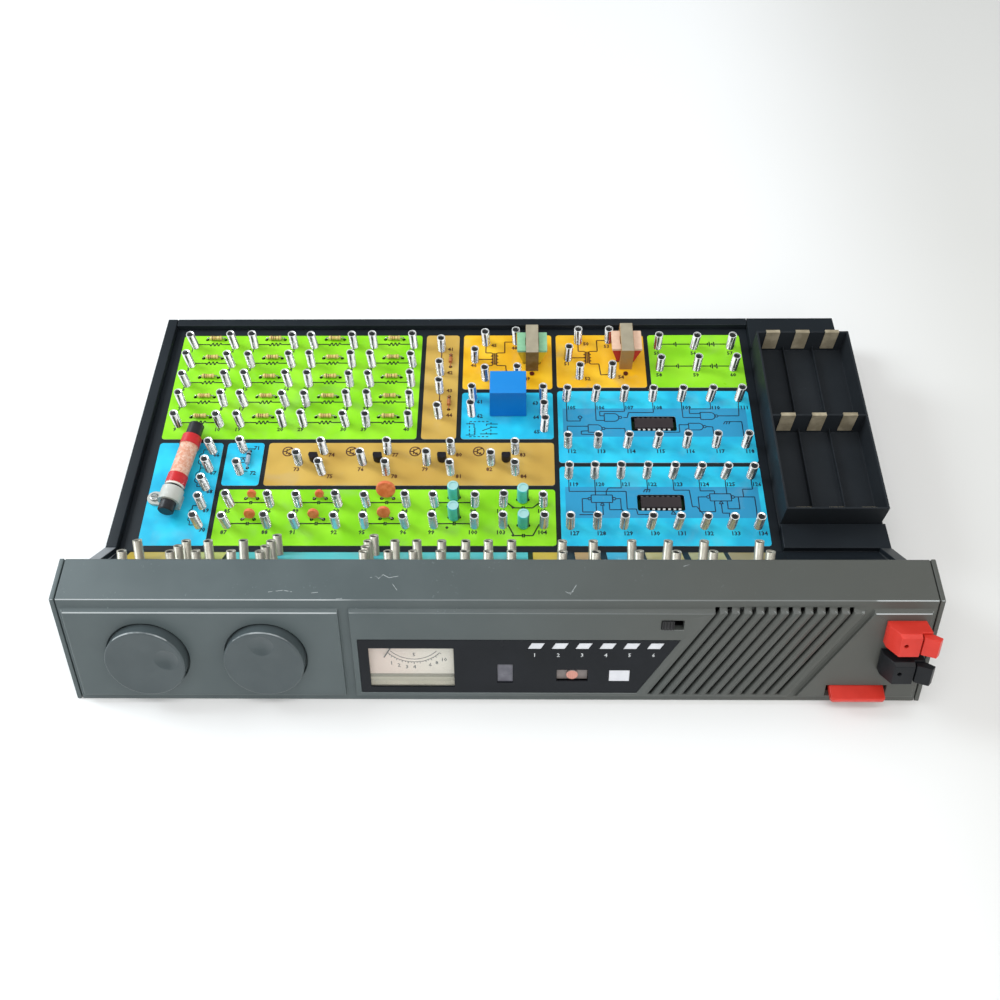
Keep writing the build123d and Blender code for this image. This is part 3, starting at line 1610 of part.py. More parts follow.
with BuildPart() as lamp_lenses:
    with BuildSketch(face_offset(board_face)):
        for number in range(lamp_count):
            middle = lamp_x + number * lamp_pitch
            with BuildLine():
                Polyline(*lamp_outline(middle, lens_gap), close=True)
            make_face()
        box_between(
            white_left + lens_gap, white_top + lens_gap, white_right - lens_gap, white_foot - lens_gap,
        )
    extrude(amount=panel_rise - window_sink - lens_sink - board_face)
save(lamp_lenses.part, "lamp_lenses")

with BuildPart() as digit_display:
    with BuildSketch(face_offset(board_face)):
        box_between(
            digit_left + lens_gap, digit_top + lens_gap, digit_right - lens_gap, digit_foot - lens_gap,
        )
    extrude(amount=panel_rise - window_sink - block_sink - board_face)
save(digit_display.part, "digit_display")

with BuildPart() as light_sensor:
    sensor_front = panel_rise - window_sink - 2 * block_sink
    with BuildSketch(face_offset(board_face)):
        box_between(
            sensor_left + lens_gap, sensor_top + lens_gap,
            sensor_right - lens_gap, sensor_foot - lens_gap,
        )
    extrude(amount=sensor_front - board_face)
    with BuildSketch(face_offset(sensor_front)):
        middle = ((sensor_left + sensor_right) / 2, -(sensor_top + sensor_foot) / 2)
        with Locations(middle):
            Circle(sensor_r)
    extrude(amount=block_sink)
save(light_sensor.part, "light_sensor")

# ---------------------------------------------------------------- speaker
cone_t = 0.5
cone_rim = 3.0
dust_cap_r = 7.0
basket_wall = 1.0
cone_gap = 0.3
speaker_inner = speaker_r - cone_rim


def speaker_profile(points):
    """Turn a section round the speaker's axis. Points are (radius, height above the face)."""
    with BuildPart() as piece:
        with BuildSketch(clip_plane(speaker_s)):
            with BuildLine():
                Polyline(*[(speaker_x + r, h) for r, h in points], close=True)
            make_face()
        revolve(axis=axis_at(speaker_x, speaker_s))
    return piece.part


flange_back = -wall - speaker_flange
basket_back = -speaker_deep
speaker_frame = speaker_profile([
    (speaker_r, -wall),
    (speaker_r, flange_back),
    (magnet_r + basket_wall, basket_back),
    (0, basket_back),
    (0, basket_back + basket_wall),
    (magnet_r, basket_back + basket_wall),
    (speaker_inner, flange_back),
    (speaker_inner, -wall),
])
save(speaker_frame, "speaker_frame")
cone_front = -wall - cone_gap
cone_back = basket_back + basket_wall + 2 * cone_gap
speaker_cone = speaker_profile([
    (speaker_inner, cone_front),
    (speaker_inner, cone_front - cone_t),
    (speaker_inner - cone_rim, cone_front - cone_t),
    (dust_cap_r, cone_back),
    (0, cone_back),
    (0, cone_back + cone_rim),
    (dust_cap_r / 2, cone_back + cone_rim * 3 / 4),
    (dust_cap_r, cone_back + cone_t),
    (speaker_inner - cone_rim, cone_front),
])
save(speaker_cone, "speaker_cone")
speaker_magnet = speaker_profile([
    (0, basket_back),
    (magnet_r, basket_back),
    (magnet_r, basket_back - magnet_t),
    (0, basket_back - magnet_t),
])
save(speaker_magnet, "speaker_magnet")

# ---------------------------------------------------------------- slide switch
slider_left = switch_left + slider_gap
slider_top = switch_top + slider_gap
slider_foot_s = switch_foot - slider_gap
rib_count = 4
rib_pitch = slider_w / rib_count
rib_cut = 0.5
with BuildPart() as select_slider:
    with BuildSketch(face_offset(-slider_foot)):
        box_between(slider_left, slider_top, slider_left + slider_w, slider_foot_s)
    extrude(amount=slider_foot + slider_rise)
    with BuildSketch(face_offset(slider_rise)):
        for number in range(rib_count):
            middle = slider_left + (number + 1 / 2) * rib_pitch
            box_between(middle - rib_cut / 2, slider_top, middle + rib_cut / 2, slider_foot_s)
    extrude(amount=-rib_cut, mode=Mode.SUBTRACT)
save(select_slider.part, "select_slider")

with BuildPart() as switch_body:
    with BuildSketch(face_offset(-wall)):
        box_between(
            switch_left - switch_flange,
            switch_top - 2 * slider_gap - meter_wall,
            switch_right + switch_flange,
            switch_foot + 2 * slider_gap + meter_wall,
        )
    extrude(amount=wall - switch_deep)
    with BuildSketch(face_offset(-wall)):
        box_between(
            switch_left - 2 * slider_gap,
            switch_top,
            switch_right + 2 * slider_gap,
            switch_foot,
        )
    extrude(amount=wall - slider_foot - slider_gap, mode=Mode.SUBTRACT)
save(switch_body.part, "switch_body")

# ---------------------------------------------------------------- clip terminals
def clip_pieces(number):
    """A clip terminal and its lever, as sections along the face's slope."""
    top = clip_s + number * clip_pitch - clip_d / 2
    plane = clip_plane(top)
    pin = (clip_pin_x, clip_pin_h)
    with BuildPart() as clip:
        with BuildSketch(plane):
            with BuildLine():
                Polyline(
                    (clip_left, panel_rise),
                    (clip_right, panel_rise),
                    (clip_right, clip_base),
                    (clip_front_right, clip_base),
                    (clip_front_right, clip_h),
                    (clip_left + 2 * clip_chamfer, clip_h),
                    (clip_left, clip_base),
                    close=True,
                )
            make_face()
        extrude(amount=clip_d)
        front_top = clip.edges().filter_by(Axis.X).group_by(Axis((0, 0, 0), face_plane.z_dir))[-1]
        chamfer(front_top.sort_by(Axis.Z)[-1], length=clip_chamfer)
        with BuildSketch(plane):
            with BuildLine():
                Polyline(
                    (clip_front_right, panel_rise),
                    (clip_front_right, clip_ear_h),
                    (clip_right, clip_ear_h),
                    (clip_right, panel_rise),
                    close=True,
                )
            make_face()
        extrude(amount=clip_ear)
        with BuildSketch(plane.offset(clip_d - clip_ear)):
            with BuildLine():
                Polyline(
                    (clip_front_right, panel_rise),
                    (clip_front_right, clip_ear_h),
                    (clip_right, clip_ear_h),
                    (clip_right, panel_rise),
                    close=True,
                )
            make_face()
        extrude(amount=clip_ear)
        with BuildSketch(plane):
            with Locations(pin):
                Circle(clip_pin_r)
        extrude(amount=clip_d)
        with BuildSketch(face_offset(clip_h)):
            with Locations((clip_hole_x, -(top + clip_d / 2))):
                Circle(clip_hole_r)
        extrude(amount=-clip_hole_deep, mode=Mode.SUBTRACT)
        with BuildSketch(face_offset(panel_rise)):
            with Locations((clip_hole_x, -(top + clip_d / 2))):
                Circle(clip_stud_r)
        extrude(amount=-clip_stud_deep)
    with BuildPart() as lever:
        with BuildSketch(plane.offset(clip_ear + lever_gap)):
            with BuildLine():
                Polyline(
                    (clip_pin_x - lever_barrel_r, clip_pin_h),
                    (clip_pin_x - lever_barrel_r, clip_h - lever_gap),
                    (clip_pin_x + lever_tip_out, lever_tip_h),
                    (clip_pin_x + lever_end_out, lever_end_h),
                    (clip_pin_x + lever_heel_out, lever_heel_h),
                    close=True,
                )
            make_face()
            with Locations(pin):
                Circle(lever_barrel_r)
                Circle(clip_pin_r + shaft_clear, mode=Mode.SUBTRACT)
        extrude(amount=clip_d - 2 * (clip_ear + lever_gap))
    return clip.part, lever.part


for number, colour in enumerate(("red", "black")):
    clip_part, lever_part = clip_pieces(number)
    save(clip_part, f"{colour}_clip")
    save(lever_part, f"{colour}_lever")

# ---------------------------------------------------------------- code key
key_front = front_y - key_overhang
with BuildPart() as code_key:
    with BuildSketch(Plane.XY.offset(key_z - key_t)):
        middle_y = (key_front + key_pivot_y + key_tail) / 2
        with Locations(((key_left + key_right) / 2, middle_y)):
            Rectangle(key_right - key_left, key_pivot_y + key_tail - key_front)
    extrude(amount=key_t)
    fillet(code_key.edges().filter_by(Axis.Z).group_by(Axis.Y)[0], radius=key_corner)
    fillet(code_key.edges().group_by(Axis.Z)[-1].group_by(Axis.Y)[0], radius=key_corner / 2)
    with BuildSketch(Plane.YZ.offset(key_left - key_pin_len)):
        with Locations((key_pivot_y, key_pivot_z)):
            Circle(key_pin_r)
    extrude(amount=key_right - key_left + 2 * key_pin_len)
save(code_key.part, "code_key")

contact_back_y = key_pivot_y + 3 * key_tail
contact_bend_y = key_pivot_y + key_tail / 2
contact_tip_y = key_pivot_y - 2 * key_tail
contact_tip_z = key_z - key_t - contact_t - (key_pivot_y - contact_tip_y) * sin(radians(key_stroke))
with BuildPart() as key_contact:
    with BuildSketch(Plane.YZ.offset((key_left + key_right - contact_w) / 2)):
        with BuildLine():
            Polyline(
                (contact_back_y, cover_plate_t),
                (contact_back_y, cover_plate_t + contact_t),
                (contact_bend_y, cover_plate_t + contact_t),
                (contact_tip_y, contact_tip_z),
                (contact_tip_y, contact_tip_z - contact_t),
                (contact_bend_y, cover_plate_t),
                close=True,
            )
        make_face()
    extrude(amount=contact_w)
save(key_contact.part, "key_contact")

# ---------------------------------------------------------------- battery box
box_floor_z = seat_z + box_floor_t
row_fronts = [box_front_y + box_wall + row * (cell_len + cell_play + box_wall) for row in range(2)]
bay_middles = [box_left + box_wall + (number + 1 / 2) * bay_pitch for number in range(bay_count)]
with BuildPart() as battery_box:
    with BuildSketch(Plane.XY.offset(seat_z)):
        with Locations((box_left + box_w / 2, (box_front_y + box_back_y) / 2)):
            Rectangle(box_w, box_len)
    extrude(amount=box_rim_z - seat_z)
    with BuildSketch(Plane.XY.offset(box_floor_z)):
        for row_front in row_fronts:
            with Locations((box_left + box_w / 2, row_front + (cell_len + cell_play) / 2)):
                Rectangle(bay_count * bay_pitch, cell_len + cell_play)
    extrude(amount=box_rim_z - box_floor_z, mode=Mode.SUBTRACT)
    with BuildSketch(Plane.XY.offset(box_floor_z)):
        for middle in bay_middles[1:]:
            with Locations((middle - bay_pitch / 2, (box_front_y + box_back_y) / 2)):
                Rectangle(bay_rib_w, box_len - box_wall)
    extrude(amount=bay_rib_h)
save(battery_box.part, "battery_box")

with BuildPart() as battery_contacts:
    for middle in bay_middles:
        for row_front in row_fronts:
            wall_y = row_front + cell_len + cell_play
            inner = wall_y - leaf_clear - leaf_t
            outer = wall_y + box_wall + leaf_clear + leaf_t
            with BuildSketch(Plane.YZ.offset(middle - leaf_w / 2)):
                with BuildLine():
                    Polyline(
                        (inner, box_rim_z - leaf_drop),
                        (inner, box_rim_z + leaf_t),
                        (outer, box_rim_z + leaf_t),
                        (outer, box_rim_z - leaf_hook),
                        (outer - leaf_t, box_rim_z - leaf_hook),
                        (outer - leaf_t, box_rim_z),
                        (inner + leaf_t, box_rim_z),
                        (inner + leaf_t, box_rim_z - leaf_drop),
                        close=True,
                    )
                make_face()
            extrude(amount=leaf_w)
            strip_front = row_front + strip_gap
            with BuildSketch(Plane.XY.offset(box_floor_z)):
                with Locations((middle, strip_front + leaf_t / 2)):
                    Rectangle(leaf_w, leaf_t)
            extrude(amount=box_rim_z - strip_drop - box_floor_z)
save(battery_contacts.part, "battery_contacts")

# ---------------------------------------------------------------- screws
with BuildPart() as screw:
    with BuildSketch(Plane.XY.offset(screw_gap)):
        Circle(screw_head_r)
    extrude(amount=screw_head_t)
    with BuildSketch(Plane.XY.offset(screw_gap)):
        Circle(screw_r)
    extrude(amount=screw_len)
    with BuildSketch(Plane.XY.offset(screw_gap)):
        for turn in (0, 90):
            with Locations(Location((0, 0), turn)):
                Rectangle(screw_head_r, screw_head_t / 2)
    extrude(amount=screw_head_t / 2, mode=Mode.SUBTRACT)
with BuildPart() as clip_screw:
    with BuildSketch(Plane.XY.offset(board_z + clip_foot_t)):
        Circle(clip_screw_head_r)
    extrude(amount=screw_head_t)
    fillet(clip_screw.edges().group_by(Axis.Z)[-1], radius=screw_head_t / 2)
    with BuildSketch(Plane.XY.offset(board_z + clip_foot_t + screw_head_t)):
        Rectangle(3 * clip_screw_head_r, screw_head_t / 2)
    extrude(amount=-screw_head_t / 2, mode=Mode.SUBTRACT)
    with BuildSketch(Plane.XY.offset(deck_foot)):
        Circle(clip_screw_r)
    extrude(amount=board_z + clip_foot_t - deck_foot)
with BuildPart() as screws:
    with Locations(*[(x, y, 0) for x, y in deck_boss_points + console_boss_points]):
        add(screw.part)
    with Locations((*clip_screw_point, 0)):
        add(clip_screw.part)
save(screws.part, "screws")
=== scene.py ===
# %% [markdown]
# # A digital logic trainer
# A bench trainer for first circuits. A grey moulded console slopes up at the front, and a black tray behind
# it carries printed cards, rows of spring terminals, loose components and three bays for AA cells. The solids
# come finished from CAD, in metres, with the object's middle over the origin. This lesson gives them their
# surfaces, softens their moulded edges, and adds what is printed on them.

# %% Start from the CAD frame
import sys
import bpy
import json
from math import cos, radians, sin
from mathutils import Matrix, Vector
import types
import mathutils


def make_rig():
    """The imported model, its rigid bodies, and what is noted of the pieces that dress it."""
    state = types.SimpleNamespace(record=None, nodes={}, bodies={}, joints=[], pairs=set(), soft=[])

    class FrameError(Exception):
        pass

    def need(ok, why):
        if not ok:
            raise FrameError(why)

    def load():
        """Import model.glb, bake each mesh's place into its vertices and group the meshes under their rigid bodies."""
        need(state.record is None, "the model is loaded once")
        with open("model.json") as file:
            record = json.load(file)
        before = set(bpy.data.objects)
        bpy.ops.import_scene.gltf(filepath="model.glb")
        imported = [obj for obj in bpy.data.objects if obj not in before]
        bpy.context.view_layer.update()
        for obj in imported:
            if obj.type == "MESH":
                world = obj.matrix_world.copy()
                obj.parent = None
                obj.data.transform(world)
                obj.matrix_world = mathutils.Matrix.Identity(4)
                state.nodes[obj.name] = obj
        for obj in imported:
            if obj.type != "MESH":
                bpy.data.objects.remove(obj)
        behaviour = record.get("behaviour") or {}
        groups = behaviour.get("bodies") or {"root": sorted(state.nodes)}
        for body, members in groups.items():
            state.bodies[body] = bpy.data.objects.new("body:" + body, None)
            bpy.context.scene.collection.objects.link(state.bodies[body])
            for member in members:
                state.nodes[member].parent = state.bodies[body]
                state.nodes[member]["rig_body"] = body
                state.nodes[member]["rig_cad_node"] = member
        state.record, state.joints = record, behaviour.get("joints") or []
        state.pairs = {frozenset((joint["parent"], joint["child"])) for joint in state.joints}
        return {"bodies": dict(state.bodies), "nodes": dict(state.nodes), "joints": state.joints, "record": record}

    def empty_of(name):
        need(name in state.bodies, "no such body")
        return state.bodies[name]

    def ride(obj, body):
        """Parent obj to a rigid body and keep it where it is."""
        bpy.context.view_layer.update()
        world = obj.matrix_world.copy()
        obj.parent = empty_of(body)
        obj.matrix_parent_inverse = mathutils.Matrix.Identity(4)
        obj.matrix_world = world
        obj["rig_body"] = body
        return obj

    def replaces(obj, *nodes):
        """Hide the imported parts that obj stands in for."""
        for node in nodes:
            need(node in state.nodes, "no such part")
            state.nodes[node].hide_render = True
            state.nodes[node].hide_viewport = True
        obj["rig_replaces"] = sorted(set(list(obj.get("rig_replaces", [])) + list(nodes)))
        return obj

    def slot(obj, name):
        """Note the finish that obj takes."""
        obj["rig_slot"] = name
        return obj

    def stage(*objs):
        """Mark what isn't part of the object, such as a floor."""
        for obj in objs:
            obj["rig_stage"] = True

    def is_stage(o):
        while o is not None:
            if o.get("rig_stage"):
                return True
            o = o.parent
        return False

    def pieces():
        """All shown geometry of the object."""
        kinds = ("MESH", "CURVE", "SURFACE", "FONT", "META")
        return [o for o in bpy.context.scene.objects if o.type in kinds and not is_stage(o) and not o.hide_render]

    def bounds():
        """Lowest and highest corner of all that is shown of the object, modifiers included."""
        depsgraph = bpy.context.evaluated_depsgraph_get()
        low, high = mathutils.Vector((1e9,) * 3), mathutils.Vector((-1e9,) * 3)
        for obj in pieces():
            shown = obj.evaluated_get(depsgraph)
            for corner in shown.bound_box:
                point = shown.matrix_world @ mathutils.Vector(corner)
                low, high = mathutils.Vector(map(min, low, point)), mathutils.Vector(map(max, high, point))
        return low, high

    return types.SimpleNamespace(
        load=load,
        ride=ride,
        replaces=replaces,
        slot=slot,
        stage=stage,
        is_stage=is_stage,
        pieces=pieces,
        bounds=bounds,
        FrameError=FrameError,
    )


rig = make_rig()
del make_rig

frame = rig.load()
cad_low, cad_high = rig.bounds()
nodes = frame["nodes"]
body_of = {node: body for body, held in frame["record"]["behaviour"]["bodies"].items() for node in held}
MM = 0.001
print("CAD box in mm:", [round(side / MM, 2) for side in cad_high - cad_low])

# %% [markdown]
# A few places recur. The console's front leans back, so a place on it is given across, down the face and out
# from it, starting at its top edge. The cards lie level, and the springs nearest the console lean with their
# slope.

# %% Where things are
KEY_OVERHANG, FACE_RUN = 3.5, 25.0
FACE_TOP = Vector((0, cad_low.y / MM + KEY_OVERHANG + FACE_RUN, cad_high.z / MM))
DOWN_FACE = Vector((0, -FACE_RUN, -FACE_TOP.z)).normalized()
OUT_OF_FACE = Vector((0, DOWN_FACE.z, -DOWN_FACE.y))
CARD_TOP = 20.0
SLOPE = radians(40)
print("top edge of the console's front, in mm:", [round(side, 2) for side in FACE_TOP])

# %% [markdown]
# ## Writing shaders as sums
# A shader can be built by dragging nodes about, or in code with one line for each node and each link. Both
# bury the idea under wiring. Here a small class stands for a number that runs through the shader, so that
# `x * 2 + 1` adds its own Math nodes, and one method makes any other node.

# %% A number in a shader
def sign(operation):
    """What Python's sign does on a Wire, with the Wire on its left and on its right."""
    return (
        lambda self, other: self.finish.maths(operation, self, other),
        lambda self, other: self.finish.maths(operation, other, self),
    )


class Wire:
    """A number that runs through a shader. Signs between Wires and numbers add Math nodes."""

    def __init__(self, finish, socket):
        self.finish, self.socket = finish, socket

    __add__, __radd__ = sign("ADD")
    __sub__, __rsub__ = sign("SUBTRACT")
    __mul__, __rmul__ = sign("MULTIPLY")
    __truediv__, __rtruediv__ = sign("DIVIDE")
    __mod__, __rmod__ = sign("FLOORED_MODULO")
    __gt__, __lt__ = sign("GREATER_THAN")[0], sign("LESS_THAN")[0]
    __and__, __rand__ = sign("MINIMUM")
    __or__, __ror__ = sign("MAXIMUM")
    __pow__, __rpow__ = sign("POWER")

    def __abs__(self):
        return self.finish.maths("ABSOLUTE", self)

    def between(self, low, high):
        """1 where the number lies between the two values, otherwise 0."""
        return (self > low) & (self < high)

    def soft(self, low, high):
        """A smooth rise from 0 at low to 1 at high."""
        ends = {"Value": self, "From Min": low, "From Max": high}
        return self.finish.node("ShaderNodeMapRange", {"interpolation_type": "SMOOTHSTEP"}, ends)


# %% [markdown]
# ## A finish
# Every surface here is a Principled shader that reads the object's own coordinates, so a pattern stays put
# when a part moves. A `Finish` holds such a shader with its X, Y and Z in millimetres. Colours are given as
# the eye sees them on a screen, from 0 to 255, and turned into the linear values that light needs.

# %% The finish class
def tint(red, green, blue):
    """A screen colour as linear light."""
    parts = [value / 255 for value in (red, green, blue)]
    return (*[p / 12.92 if p <= 0.04045 else ((p + 0.055) / 1.055) ** 2.4 for p in parts], 1.0)


class Finish:
    """A material made of nodes."""

    def __init__(self, name):
        self.name, self.material = name, bpy.data.materials.new(name)
        self.material.use_nodes = True
        self.tree = self.material.node_tree
        self.shader = self.tree.nodes["Principled BSDF"]
        self.place = self.node("ShaderNodeTexCoord", output="Object")
        scaled = self.node(
            "ShaderNodeVectorMath", {"operation": "SCALE"}, {"Vector": self.place, "Scale": 1 / MM}
        )
        split = [self.node("ShaderNodeSeparateXYZ", {}, {"Vector": scaled}, axis) for axis in "XYZ"]
        self.x, self.y, self.z = split
        self.facing = self.node("ShaderNodeNewGeometry", output="Normal")
        print("finish:", name)

    def node(self, kind, settings=None, inputs=None, output=0):
        """Any node: its type, its settings, then the values or links of its sockets."""
        made = self.tree.nodes.new(kind)
        for name, value in (settings or {}).items():
            if name == "stops":
                ramp = made.color_ramp.elements
                while len(ramp) < len(value):
                    ramp.new(0.5)
                for element, (position, colour) in zip(ramp, value):
                    element.position, element.color = position, colour
            elif name == "steps":
                made.color_ramp.interpolation = value
            else:
                setattr(made, name, value)
        for name, value in (inputs or {}).items():
            self.plug(made.inputs[name], value)
        return Wire(self, made.outputs[output])

    def plug(self, socket, value):
        """A link from a Wire, or a plain value."""
        if isinstance(value, Wire):
            self.tree.links.new(value.socket, socket)
        else:
            socket.default_value = value

    def set(self, **sockets):
        """Values or Wires for the shader's own sockets."""
        for name, value in sockets.items():
            self.plug(self.shader.inputs[name], value)
        return self

    def maths(self, operation, *values):
        return self.node("ShaderNodeMath", {"operation": operation}, dict(enumerate(values)))

    def mix(self, share, first, second):
        """A colour that goes from the first to the second as share goes from 0 to 1."""
        return self.node("ShaderNodeMix", {"data_type": "RGBA"}, {0: share, 6: first, 7: second}, 2)

    def noise(self, size, detail=2.0, stretch=(1, 1, 1), warp=0.0):
        """Cloudy noise from 0 to 1 whose patches are about size mm across."""
        place = self.node(
            "ShaderNodeVectorMath", {"operation": "MULTIPLY"}, {0: self.place, 1: stretch}
        )
        values = {"Vector": place, "Scale": 1 / (size * MM), "Detail": detail, "Distortion": warp}
        return self.node("ShaderNodeTexNoise", {}, values)

    def bump(self, height, depth):
        """A relief whose height of 1 stands depth mm above its height of 0."""
        values = {"Height": height, "Distance": depth * MM, "Strength": 1.0}
        return self.set(Normal=self.node("ShaderNodeBump", {}, values))

    def normal(self, axis):
        """How far the surface faces along an axis, from -1 to 1."""
        return self.node("ShaderNodeSeparateXYZ", {}, {"Vector": self.facing}, axis)


# %% [markdown]
# ## Moulded plastic
# The console, tray, knobs and battery box are injection moulded. Such plastic is never one flat tone: it has
# a fine spark-eroded grain, faint flow marks some centimetres across, and a shine that changes a little where
# hands have polished it. One recipe serves them all, with each part's own colours and grain.

# %% The moulded recipe
def moulded(name, colour, deep, rough=0.5, grain=0.012, cell=0.35, flow=28.0, dust=0.0, shine=0.4):
    """Satin plastic: flow marks between two tones, a fine grain, and dust that settles on top."""
    finish = Finish(name)
    flow_marks = finish.noise(flow, 3).soft(0.3, 0.7)
    fine = finish.noise(cell, 1)
    body = finish.mix(flow_marks * 0.7 + fine * 0.3, deep, colour)
    specks = finish.noise(1.1, 2).soft(0.66, 0.74) * finish.noise(16, 2).soft(0.45, 0.65)
    pale = tuple(min(1.0, part * 2.2 + 0.02) for part in colour[:3]) + (1.0,)
    shade = finish.mix(specks * finish.normal("Z").soft(0.3, 0.9) * dust, body, pale)
    polish = finish.noise(9, 2)
    finish.set(**{
        "Base Color": shade,
        "Roughness": rough + (polish - 0.5) * 0.16,
        "Specular IOR Level": shine,
    })
    finish.shade = shade
    return finish.bump(fine, grain)


console_grey = moulded("console_grey", tint(86, 96, 97), tint(78, 88, 89), 0.42, 0.014, dust=0.45)
knob_grey = moulded("knob_grey", tint(76, 85, 87), tint(69, 78, 80), 0.33, 0.006, 0.3, 12)
tray_black = moulded("tray_black", tint(32, 38, 43), tint(26, 31, 36), 0.42, 0.008, dust=0.3, shine=0.22)
battery_black = moulded(
    "battery_black", tint(41, 45, 49), tint(33, 37, 41), 0.55, 0.01, dust=0.5, shine=0.15
)

# %% [markdown]
# The console's top has been scratched by things laid on it. Each scratch is a chain of thin straight lines:
# points near a line, and between its ends, turn pale. The right side of the console is painted a little
# darker and warmer, partly as yellowing and partly as painted shade.

# %% Scratches
SCRATCH_HALF = 0.14
SCRATCHES = [
    [(-96.6, -74.0), (-90.3, -73.2), (-86.4, -73.9)],
    [(-53.6, -67.1), (-51.1, -66.3), (-49.9, -67.5), (-48.1, -65.6), (-45.5, -67.1), (-41.5, -66.3)],
    [(-43.8, -70.0), (-41.7, -73.0)],
    [(-67.3, -77.3), (-64.8, -77.0)],
    [(30.0, -73.6), (32.2, -74.8), (34.8, -70.5)],
    [(31.1, -74.4), (33.5, -73.6)],
    [(81.2, -61.4), (83.9, -60.5)],
    [(-78.6, -74.5), (-75.3, -74.1)],
]


def on_line(finish, start, end):
    """1 within half a scratch's width of a line in X and Y, between its ends."""
    (x1, y1), (x2, y2) = start, end
    rise = (y2 - y1) / (x2 - x1)
    along = finish.x - (x1 + x2) / 2
    away = abs(finish.y - (y1 + y2) / 2 - along * rise)
    return (away < SCRATCH_HALF * (1 + rise * rise) ** 0.5) & (abs(along) < abs(x2 - x1) / 2)


# Darker, warmer tone towards the right: partly yellowing, partly painted shade.
yellowed = console_grey.x.soft(-90, 150) * (0.6 + console_grey.noise(60, 2) * 0.4)
worn = console_grey.mix(yellowed, console_grey.shade, tint(82, 82, 76))
on_top = console_grey.normal("Z") > 0.8
broken = console_grey.noise(1.5, 2).soft(0.3, 0.6)
for path in SCRATCHES:
    for start, end in zip(path, path[1:]):
        scratch = (on_line(console_grey, start, end) & on_top) * broken * 0.7
        worn = console_grey.mix(scratch, worn, tint(178, 184, 184))
print(len(SCRATCHES), "scratches")

# %% [markdown]
# The console's upper edges get a painted highlight: a pale line where their rounding would catch the light
# from overhead, strongest at either end. Such an edge is told from the flat faces by its normal, which lies
# between theirs. The panel's top edge lies between two distances down the face and gets none. The knobs' rims
# get the same painted highlight, and the tray's side strips are painted grey, the left one much lighter as
# painted light from the upper left.

# %% Painted highlights on edges, and the tray's side strips
EDGE_FOOT, PANEL_FOOT = 1.5, 4.95
SCUFF_BACK, SCUFF_SIDE = -37.2, 178.6
PALE_WEAR, RIM_WEAR = tint(196, 202, 202), tint(186, 192, 192)

# Painted highlight: a pale line on the console's upper edges, stronger at either end.
straight = abs(console_grey.normal("X")) < 0.12
edge = console_grey.normal("Y").between(-0.78, -0.26) & (console_grey.normal("Z") > 0.5) & straight
down_face = (console_grey.y - FACE_TOP.y) * DOWN_FACE.y + (console_grey.z - FACE_TOP.z) * DOWN_FACE.z
edge = edge & ((down_face < EDGE_FOOT) | (down_face > PANEL_FOOT))
handled = console_grey.x.soft(-50, -75) | console_grey.x.soft(160, 162) | 0.25
console_grey.set(**{"Base Color": console_grey.mix(edge * handled * 0.75, worn, PALE_WEAR)})

# Painted highlight: a pale, broken line along the knobs' upper rims.
rim = knob_grey.normal("Y").between(-0.75, 0.1) & (knob_grey.normal("Z") > 0.79)
rubbed = rim * knob_grey.noise(7, 2).soft(0.3, 0.6) * 0.6
knob_grey.set(**{"Base Color": knob_grey.mix(rubbed, knob_grey.shade, RIM_WEAR)})

# The tray's side strips are painted grey; the left one is much lighter, as painted light from the upper left.
beside = (tray_black.y < SCUFF_BACK) & (abs(tray_black.x) > SCUFF_SIDE)
scuffed = beside & (tray_black.normal("Z") > 0.5)
lit = tray_black.mix(tray_black.x > 0, tint(128, 131, 134), tint(62, 65, 66))
tray_black.set(**{"Base Color": tray_black.mix(scuffed, tray_black.shade, lit)})

# %% [markdown]
# ## Printed cards
# Each group of parts stands on a card of its own colour: an opaque ink under a clear film. The ink is even,
# but the film catches dust, is a little wavy, and goes grey where fingers push wires into the springs. So the
# colour gets slow clouds and faint grime, and the film a long low ripple.

# %% The card recipe
def card_film(finish, print_tone, grime=0.35):
    """Ink under a clear film, with worn and dusty patches."""
    worn = finish.noise(14, 4, warp=0.6).soft(0.52, 0.78)
    dirt = finish.mix(0.5, (0.18, 0.17, 0.14, 1.0), (0.5, 0.5, 0.47, 1.0))
    fleck = finish.noise(1.6, 2).soft(0.7, 0.78)
    cut_edge = finish.normal("Z") < 0.4
    film = finish.mix(worn * grime * 0.35 + fleck * 0.12, print_tone, dirt)
    finish.set(**{
        "Base Color": finish.mix(cut_edge * 0.8, film, (0.62, 0.66, 0.6, 1.0)),
        "Roughness": 0.3 + worn * 0.15 + (finish.noise(5, 2) - 0.5) * 0.1,
        "Specular IOR Level": 0.35,
    })
    return finish.bump(finish.noise(11, 2), 0.02)


def card(name, deep, light, cloud=26.0, grime=0.35, areas=()):
    """One card colour that drifts between two tones. Areas of another ink are rectangles in X and Y."""
    finish = Finish(name)
    shade = finish.mix(finish.noise(cloud, 2).soft(0.35, 0.68), deep, light)
    for (left, right, front, back), other in areas:
        inside = finish.x.between(left, right) & finish.y.between(front, back)
        shade = finish.mix(inside, shade, other)
    return card_film(finish, shade, grime)


BAND_LEFT, BAND_RIGHT = 33.2, 127.0
BAND_TONE = tint(46, 148, 192)
LOGIC_BANDS = [
    ((BAND_LEFT, BAND_RIGHT, front, back), BAND_TONE) for front, back in ((29.15, 47.05), (-18.85, -1.05))
]
card_green = card("card_green", tint(134, 214, 22), tint(154, 230, 40), 20)
card_blue = card("card_blue", tint(32, 178, 218), tint(44, 206, 238), 16, areas=LOGIC_BANDS)
card_amber = card("card_amber", tint(236, 178, 24), tint(246, 196, 44), 12, 0.9)
card_tan = card("card_tan", tint(194, 156, 72), tint(208, 172, 84), 26, 0.5)

# %% [markdown]
# The strip behind the console holds nine small cards side by side, on one solid. Painting each would need
# nine materials. It is simpler to choose the ink by the X coordinate: each card's span is a mask that lays
# its colour over the one before.

